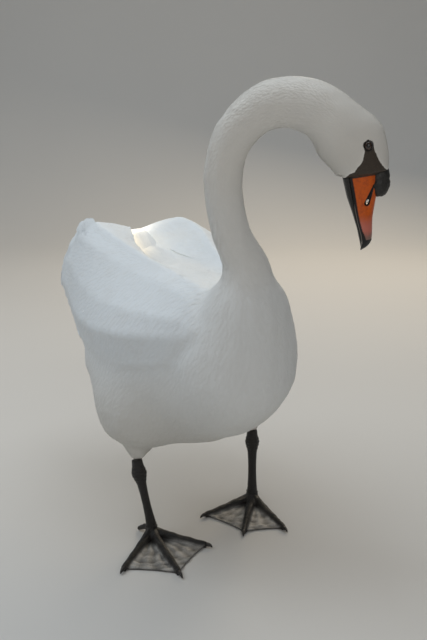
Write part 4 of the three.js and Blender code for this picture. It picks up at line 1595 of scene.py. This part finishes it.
def makeEyeMaterial():
    fixed = {"Roughness": 0.05, "Coat Weight": 0.6, "Coat Roughness": 0.02}
    material, start, shader = newMaterial("eye", fixed)
    along, _, high = headPlace(start)
    far = (along * along + high * high).root()
    rays = placeOf(start).noise(1400, 3, 0.7)
    ring = 1 - (far - eye["amberRing"]).size().rise(0.3, 1.4)
    iris = (rays.rise(0.35, 0.75) * ring).mixed(eye["brown"], eye["amber"])
    colour = far.rise(eye["pupil"] - 0.25, eye["pupil"] + 0.2).mixed(eye["black"], iris)
    colour = far.rise(eye["iris"] - 0.3, eye["iris"] + 0.3).mixed(colour, eye["rimColour"])
    feed(shader, colour)
    return material


def eyeballMesh(sign):
    mesh = bpy.data.meshes.new("eye")
    with opened(mesh) as sheet:
        bmesh.ops.create_uvsphere(sheet, u_segments=48, v_segments=32, radius=eye["radius"])
    points = pointsOf(mesh)[:, [0, 2, 1]]
    far = np.hypot(points[:, 0], points[:, 2])
    proud, reach = eye["cornea"]
    points[:, 1] += proud * np.exp(-((far / reach) ** 2)) * np.sign(points[:, 1])
    points[:, 1] += sign * eye["out"]
    movePoints(mesh, fromHead(points))
    with opened(mesh) as sheet:
        bmesh.ops.recalc_face_normals(sheet, faces=sheet.faces)
    return mesh


def lidMesh(sign):
    # a ring from the skin up over the edge of the opening and down onto the eyeball
    turns = np.linspace(0, 2 * math.pi, eye["around"], endpoint=False)
    wide, tall = eye["opening"]
    hood = 1 - 0.10 * np.clip(np.sin(turns), 0, 1) ** 2  # the upper lid sits lower
    rimRadius = wide * tall / np.hypot(tall * np.cos(turns), wide * np.sin(turns)) * hood
    rimRadius = rimRadius * (1 + 0.07 * np.clip(np.cos(turns), 0, 1) ** 8)
    seat = eye["seat"] * (1 + 0.06 * np.cos(turns) ** 2)
    last, dip = eye["turnIn"]
    fold, close = eye["folds"]
    middle, reach, proud = eye["swollen"]
    rings = []
    for share in np.linspace(0, 1, eye["rings"]):
        radius = seat + (rimRadius - seat) * min(share / last, 1)
        ball = np.sqrt(np.maximum((eye["radius"] + 0.42) ** 2 - radius**2, 0))
        side = np.full(len(turns), sign * 45.0)
        places = np.stack([radius * np.cos(turns), side, radius * np.sin(turns)], 1)
        skinOut = skinHeight(places, sign)
        rest = eye["out"] + ball
        out = np.maximum(skinOut - 0.2, rest)
        soften = smooth(0.0, 0.6, share)
        out = (1 - soften) * (skinOut - 0.7) + soften * out
        folds = fold * math.sin(share * close) * (1 - share) * (0.6 + 0.4 * np.sin(2 * turns + 1))
        out = out + folds + proud * math.exp(-(((share - middle) / reach) ** 2))
        if share > last:
            deep = (share - last) / (1 - last)
            out = out - dip * deep
            radius = radius - 0.15 * deep
        rings.append(np.stack([radius * np.cos(turns), sign * out, radius * np.sin(turns)], 1))
    quads, _, _ = ringGrid(np.array(rings))
    points = fromHead(np.concatenate(rings))
    return meshOf("lids", points, quads if sign < 0 else quads[:, ::-1])


def skinHeight(places, sign):
    # how far out the skin lies from the head's middle plane
    aim = Vector(fromHead([[0, -sign, 0]])[0] - fromHead([[0, 0, 0]])[0]).normalized()
    found = []
    for place in fromHead(places).tolist():
        hit = skinTree.ray_cast(Vector(place), aim, 0.05)[0]
        found.append(hit if hit is not None else Vector(place))
    return toHead(np.array(found))[:, 1] * sign


def addEyes():
    gloss = makeEyeMaterial()
    lids = makeDarkHorn("lid_skin")
    for side, sign in sides.items():
        addPiece("eyeball_" + side, eyeballMesh(sign), gloss, ["eye_" + side])
        addPiece("lids_" + side, lidMesh(sign), lids)
    print("eyes built")


addEyes()


# Legs and feet, in the standing frame midway between the heels.
legs = {
    # a toe is [direction from the heading in degrees to the left, length with its claw]
    "left": {
        "ankle": (-41, 110, 101),
        "heel": (-24, 102, 0),
        "toes": {"inner": (-76, 113), "middle": (-33, 137), "outer": (-2, 133)},
    },
    "right": {
        "ankle": (8, -115, 104),
        "heel": (24, -102, 0),
        "toes": {"inner": (41, 106), "middle": (-4, 148), "outer": (-42, 131)},
    },
}
leg = {
    "voxel": 1.05 * mm,
    "bridge": 0.5 * mm,
    "rounds": 10,
    "thick": [(0, 8.5), (0.3, 6.6), (0.65, 5.6), (0.9, 4.6)],  # a toe's half width along it
    "joints": [(0.36, 1.2), (0.62, 1.0), (0.84, 0.8)],  # where a toe swells, and by how much
    "claw": 0.9,  # where the claw starts, along the toe
    "clawCells": (0.45 * mm, 0, 5),  # voxel, bridge and rounds of its remesh
    "scute": {"toe": 3.9, "shank": 4.2},
    "black": (0.0095, 0.0085, 0.0078),
    "brown": (0.030, 0.025, 0.020),
    "web": (0.22, 0.213, 0.20),
    # pale dust and painted sheen on the webs
    "dustAndSheen": (0.41, 0.395, 0.37),
    "flat": 14,  # below this height the skin is toes and webs
    "pleat": (30, 0.75),  # the webs' folds that fan out: how close they lie, and their height
    "ripple": (0.5, 0.6),  # the heights of the finer and the broader ones across
    "crease": (0.5, 0.55),  # those of the ankle's creases and the heel's
}
scuteShape = {
    "columns": 7,
    "outline": [(0, 0.94), (0.7, 1), (1, 0.86)],
    "rise": [(0, -0.55), (0.5, 0.1), (1, 0.42)],
    "lift": 1.0,
    "camber": 0.5,
    "round": 0.22,
    "fray": 0.05,
    "crown": 1.2,
    "thick": 0.35 * mm,
}


def fromFeet(points):
    return np.asarray(points, float) * mm + standing


def makeLegMaterial():
    material, start, shader = newMaterial("leg_skin", {"Specular IOR Level": 0.5})
    place = placeOf(start)
    web = numberOf(start, "web")
    broad = place.noise(55, 4, 0.6)
    fine = place.noise(600, 4, 0.65)
    black = fine.rise(0.4, 0.75).mixed(leg["black"], leg["brown"])
    # the webs' grey, in patches towards pale dust and painted sheen
    grey = (broad * 0.75 + fine * 0.35).rise(0.42, 0.68).mixed(leg["web"], leg["dustAndSheen"])
    colour = (web * (fine * 0.5 + 0.7)).least(1.0).mixed(black, grey)
    cells = start.node("TexVoronoi", {"feature": "DISTANCE_TO_EDGE"}, {"Vector": place, "Scale": 480.0})
    pebble = cells.rise(0.0, 0.22)
    relief = pebble * (1 - web * 0.8) + place.noise(260, 5, 0.7) * 0.8 + fine * 0.3
    feed(shader, colour, fine * 0.3 + 0.30 + web * 0.12, relief, 0.6, 0.0006)
    return material


def heading(degrees):
    return np.array([math.cos(math.radians(degrees)), math.sin(math.radians(degrees)), 0])


def toeShares(points, facts):
    # for every toe: how far along it each place lies, how far aside in millimetres, and its half width there
    flat = (points - fromFeet(facts["heel"])) / mm
    found = []
    for degrees, length in facts["toes"].values():
        course = heading(degrees)[:2]
        aside = flat[:, 0] * -course[1] + flat[:, 1] * course[0]
        share = flat[:, :2] @ course / length
        found.append((share, aside, np.interp(share, *zip(*leg["thick"])), length))
    return found


def sculptedLeg(side):
    # knuckles, the webs' pleats and the ankle's creases on the remeshed shank and foot
    facts = legs[side]
    mesh = remeshed(["shank_" + side, "foot_" + side], leg["voxel"], leg["bridge"], leg["rounds"])
    points = pointsOf(mesh)
    normals = unit(diffused(normalsOf(points, trianglesOf(mesh)), edgesOf(mesh), 3))
    low = points[:, 2] < leg["flat"] * mm
    raised = np.zeros(len(points))
    web = low & (points[:, 2] > 0.6 * mm)
    webShare = web.astype(float)
    toes = toeShares(points, facts)
    for share, aside, half, length in toes:
        on = np.exp(-((aside / (half * 0.95)) ** 2)) * (share > 0.1)
        for joint, swell in leg["joints"]:
            raised += swell * on * np.exp(-(((share - joint) * length / 5.5) ** 2)) * low
        webShare *= smooth(0.75, 1.15, np.abs(aside) / half)
        webShare *= ~((share < 0.05) & (np.abs(aside) < 14))
    local = (points - fromFeet(facts["heel"])) / mm
    middle = math.radians(facts["toes"]["middle"][0])
    turn = (np.arctan2(local[:, 1], local[:, 0]) - middle + math.pi) % (2 * math.pi) - math.pi
    far = np.hypot(local[:, 0], local[:, 1])
    webShare *= smooth(16, 34, far) * (np.abs(turn) < 0.9)
    close, high = leg["pleat"]
    fine, broad = leg["ripple"]
    pleats = np.sin(turn * close + 0.9 * np.sin(far * 0.09)) * high * smooth(20, 60, far)
    ripples = np.sin(far * 0.55 + 2.2 * np.sin(turn * 5)) * fine * smooth(70, 105, far)
    ripples += np.sin(far * 0.27 + 1.4 * np.sin(turn * 9 + 2)) * broad * smooth(30, 80, far)
    raised += webShare * (pleats + ripples) * (normals[:, 2] > 0.3)
    ankle = (points - fromFeet(facts["ankle"])) / mm
    about = np.arctan2(ankle[:, 1], ankle[:, 0])
    byAnkle, byHeel = leg["crease"]
    near = np.exp(-((ankle[:, 2] / 15) ** 2)) * ~low
    raised += near * byAnkle * np.sin(ankle[:, 2] * 1.15 + 0.8 * np.sin(about * 3))
    near = np.exp(-(((local[:, 2] - 20) / 9) ** 2))
    raised += near * byHeel * np.sin(local[:, 2] * 1.3 + turn * 2)
    points = points + normals * raised[:, None] * mm
    points[:, 2] = np.maximum(points[:, 2], 0)
    movePoints(mesh, points)
    shown = webShare * (normals[:, 2] > 0.1) * smooth(26, 52, far)
    folds = np.clip(0.8 + 0.35 * (pleats + ripples), 0, 1.3)  # dust and painted sheen on the ridges, painted shade in the troughs
    setNumbers(mesh, "web", diffused(shown * folds, edgesOf(mesh), 4))
    return mesh


def scuteLine(tree, start, end, outward, pitch, halves):
    # plates along a line on a leg, each overlapping the next one further on
    start, end = np.asarray(start, float), np.asarray(end, float)
    whole = np.linalg.norm(end - start) / mm
    count = int(whole / pitch)
    course = (end - start) / np.linalg.norm(end - start)
    outward = unit(outward - (outward @ course) * course)
    paths, skies, widths = [], [], []
    for number in range(count):
        path, sky = [], []
        for part in (0, 0.5, 1.0, 1.4):
            place = start + course * (number + part) * pitch * mm
            hit, normal, _, _ = tree.ray_cast(Vector(place + outward * 0.03), Vector(-outward), 0.06)
            path.append(place if hit is None else np.array(hit))
            sky.append(outward if normal is None else np.array(normal))
        sky = unit(np.array(sky) + 2 * outward)
        paths.append(path)
        skies.append(sky)
        widths.append(np.interp((number + 0.7) / count, *zip(*halves)) * 0.8)
    return np.array(paths), np.array(skies), np.array(widths) * mm


def scuteMesh(side, mesh):
    facts = legs[side]
    tree = BVHTree.FromPolygons(pointsOf(mesh).tolist(), trianglesOf(mesh).tolist())
    heel = fromFeet(facts["heel"])
    lines = []
    for degrees, length in facts["toes"].values():
        course = heading(degrees)
        first, last = heel + course * 20 * mm, heel + course * length * leg["claw"] * mm
        halves = [((share - 0.17) / 0.73, half) for share, half in leg["thick"]]
        lines.append(scuteLine(tree, first, last, np.array([0, 0, 1.0]), leg["scute"]["toe"], halves))
    ankle = fromFeet(facts["ankle"])
    top = ankle + (heel - ankle) * 0.1
    foot = ankle + (heel - ankle) * 0.86
    ahead = heading(facts["toes"]["middle"][0])
    halves = [(0, 9.0), (0.2, 6.6), (0.7, 6.2), (1, 7.4)]
    lines.append(scuteLine(tree, top, foot, ahead, leg["scute"]["shank"], halves))
    path, sky, widths = (np.concatenate([line[part] for line in lines]) for part in range(3))
    flat, quads = bladeGrid(path, sky, widths, scuteShape, 61)
    plates = meshOf("scutes_" + side, flat["points"].reshape(-1, 3), quads)
    plates.normals_split_custom_set_from_vertices(flat["soft"].reshape(-1, 3))
    setNumbers(plates, "web", np.zeros(len(plates.vertices)))
    return plates


def addLegs():
    hide = makeLegMaterial()
    claws = makeDarkHorn("claw_horn")
    for side in sides:
        mesh = sculptedLeg(side)
        piece = addPiece("leg_" + side, mesh, hide, ["shank_" + side, "foot_" + side])
        addPiece("scutes_" + side, scuteMesh(side, mesh), hide)
        for toe in legs[side]["toes"]:
            node = f"claw_{side}_{toe}"
            claw = remeshed([node], *leg["clawCells"])
            addPiece(node + "_horn", claw, claws, [node])
        print("leg", side, len(piece.data.polygons), "faces")


addLegs()


# Studio.
studio = {
    "floor": (0.68, 0.665, 0.64),
    "cloud": 0.94,  # its darkest places against this
    # the paper's half width, its ends before and behind the swan, its height, and the bend between
    "cove": {"half": 3.2, "front": 3.4, "behind": 3.4, "height": 3.2, "bend": 1.1, "rows": 24},
    "key": {"place": (-0.9, -1.5, 2.6), "size": 2.2, "power": 27, "colour": (0.86, 0.94, 1.0)},
    "top": {"place": (-0.2, 0.3, 3.0), "size": 2.6, "power": 25, "colour": (0.92, 0.97, 1.0)},
    "fill": {"place": (2.6, -1.0, 1.5), "size": 2.4, "power": 15, "colour": (1.0, 0.97, 0.93)},
    "rim": {"place": (-1.9, 1.7, 1.5), "size": 0.9, "power": 20, "colour": (1.0, 0.84, 0.62)},
    "glow": {"place": (-0.145, -0.01, 0.40), "size": 0.13, "power": 0.08, "colour": (1.0, 0.80, 0.52)},
    "back": {"place": (-0.20, 0.0, 0.475), "size": 0.05, "power": 0.02, "colour": (1.0, 0.86, 0.66)},
    # what the lamps face: glow and back lie in the hollow between the wings
    "aims": {"swan": (0, 0, 0.35), "glow": (-0.11, 0.08, 0.415), "back": (-0.25, 0.03, 0.42)},
    "world": (0.78, 0.80, 0.82, 1),
    "worldStrength": 0.18,
}


def addStudio():
    cove = studio["cove"]
    half, bend = cove["half"], cove["bend"]
    start = bend - cove["behind"]
    run = [(cove["front"], 0.0), (start, 0.0)]
    for turn in np.linspace(0.05, math.pi / 2, cove["rows"]):
        run.append((start - bend * math.sin(turn), bend - bend * math.cos(turn)))
    run.append((-cove["behind"], cove["height"]))
    turn = Vector((-camera["heading"][0], -camera["heading"][1], 0)).normalized()
    across = Vector((-turn.y, turn.x, 0))
    points = [turn * out + across * side + Vector((0, 0, up)) for out, up in run for side in (-half, half)]
    count = len(run)
    faces = np.array([[2 * i, 2 * i + 1, 2 * i + 3, 2 * i + 2] for i in range(count - 1)])
    mesh = meshOf("floor", np.array(points), faces)
    material, start, shader = newMaterial("studio_paper", {"Roughness": 0.9, "Specular IOR Level": 0.1})
    cloud = placeOf(start).noise(1.4, 3)
    tint = [share * studio["cloud"] for share in studio["floor"]]
    feed(shader, cloud.mixed(studio["floor"], tint))
    mesh.materials.append(material)
    addObject("floor", mesh)
    for name in ("key", "top", "fill", "rim", "glow", "back"):
        facts = studio[name]
        lamp = bpy.data.lights.new(name, "AREA")
        lamp.shape = "DISK"
        lamp.size = facts["size"]
        lamp.energy = facts["power"]
        lamp.color = facts["colour"]
        holder = addObject(name, lamp)
        holder.visible_camera = False
        aim = studio["aims"].get(name, studio["aims"]["swan"])
        looksAt(holder, facts["place"], np.subtract(aim, facts["place"]))
    world = bpy.data.worlds.new("world")
    bpy.context.scene.world = world
    world.use_nodes = True
    sky = world.node_tree.nodes["Background"]
    sky.inputs["Color"].default_value = studio["world"]
    sky.inputs["Strength"].default_value = studio["worldStrength"]
    bpy.context.scene.view_settings.view_transform = "Standard"


addStudio()
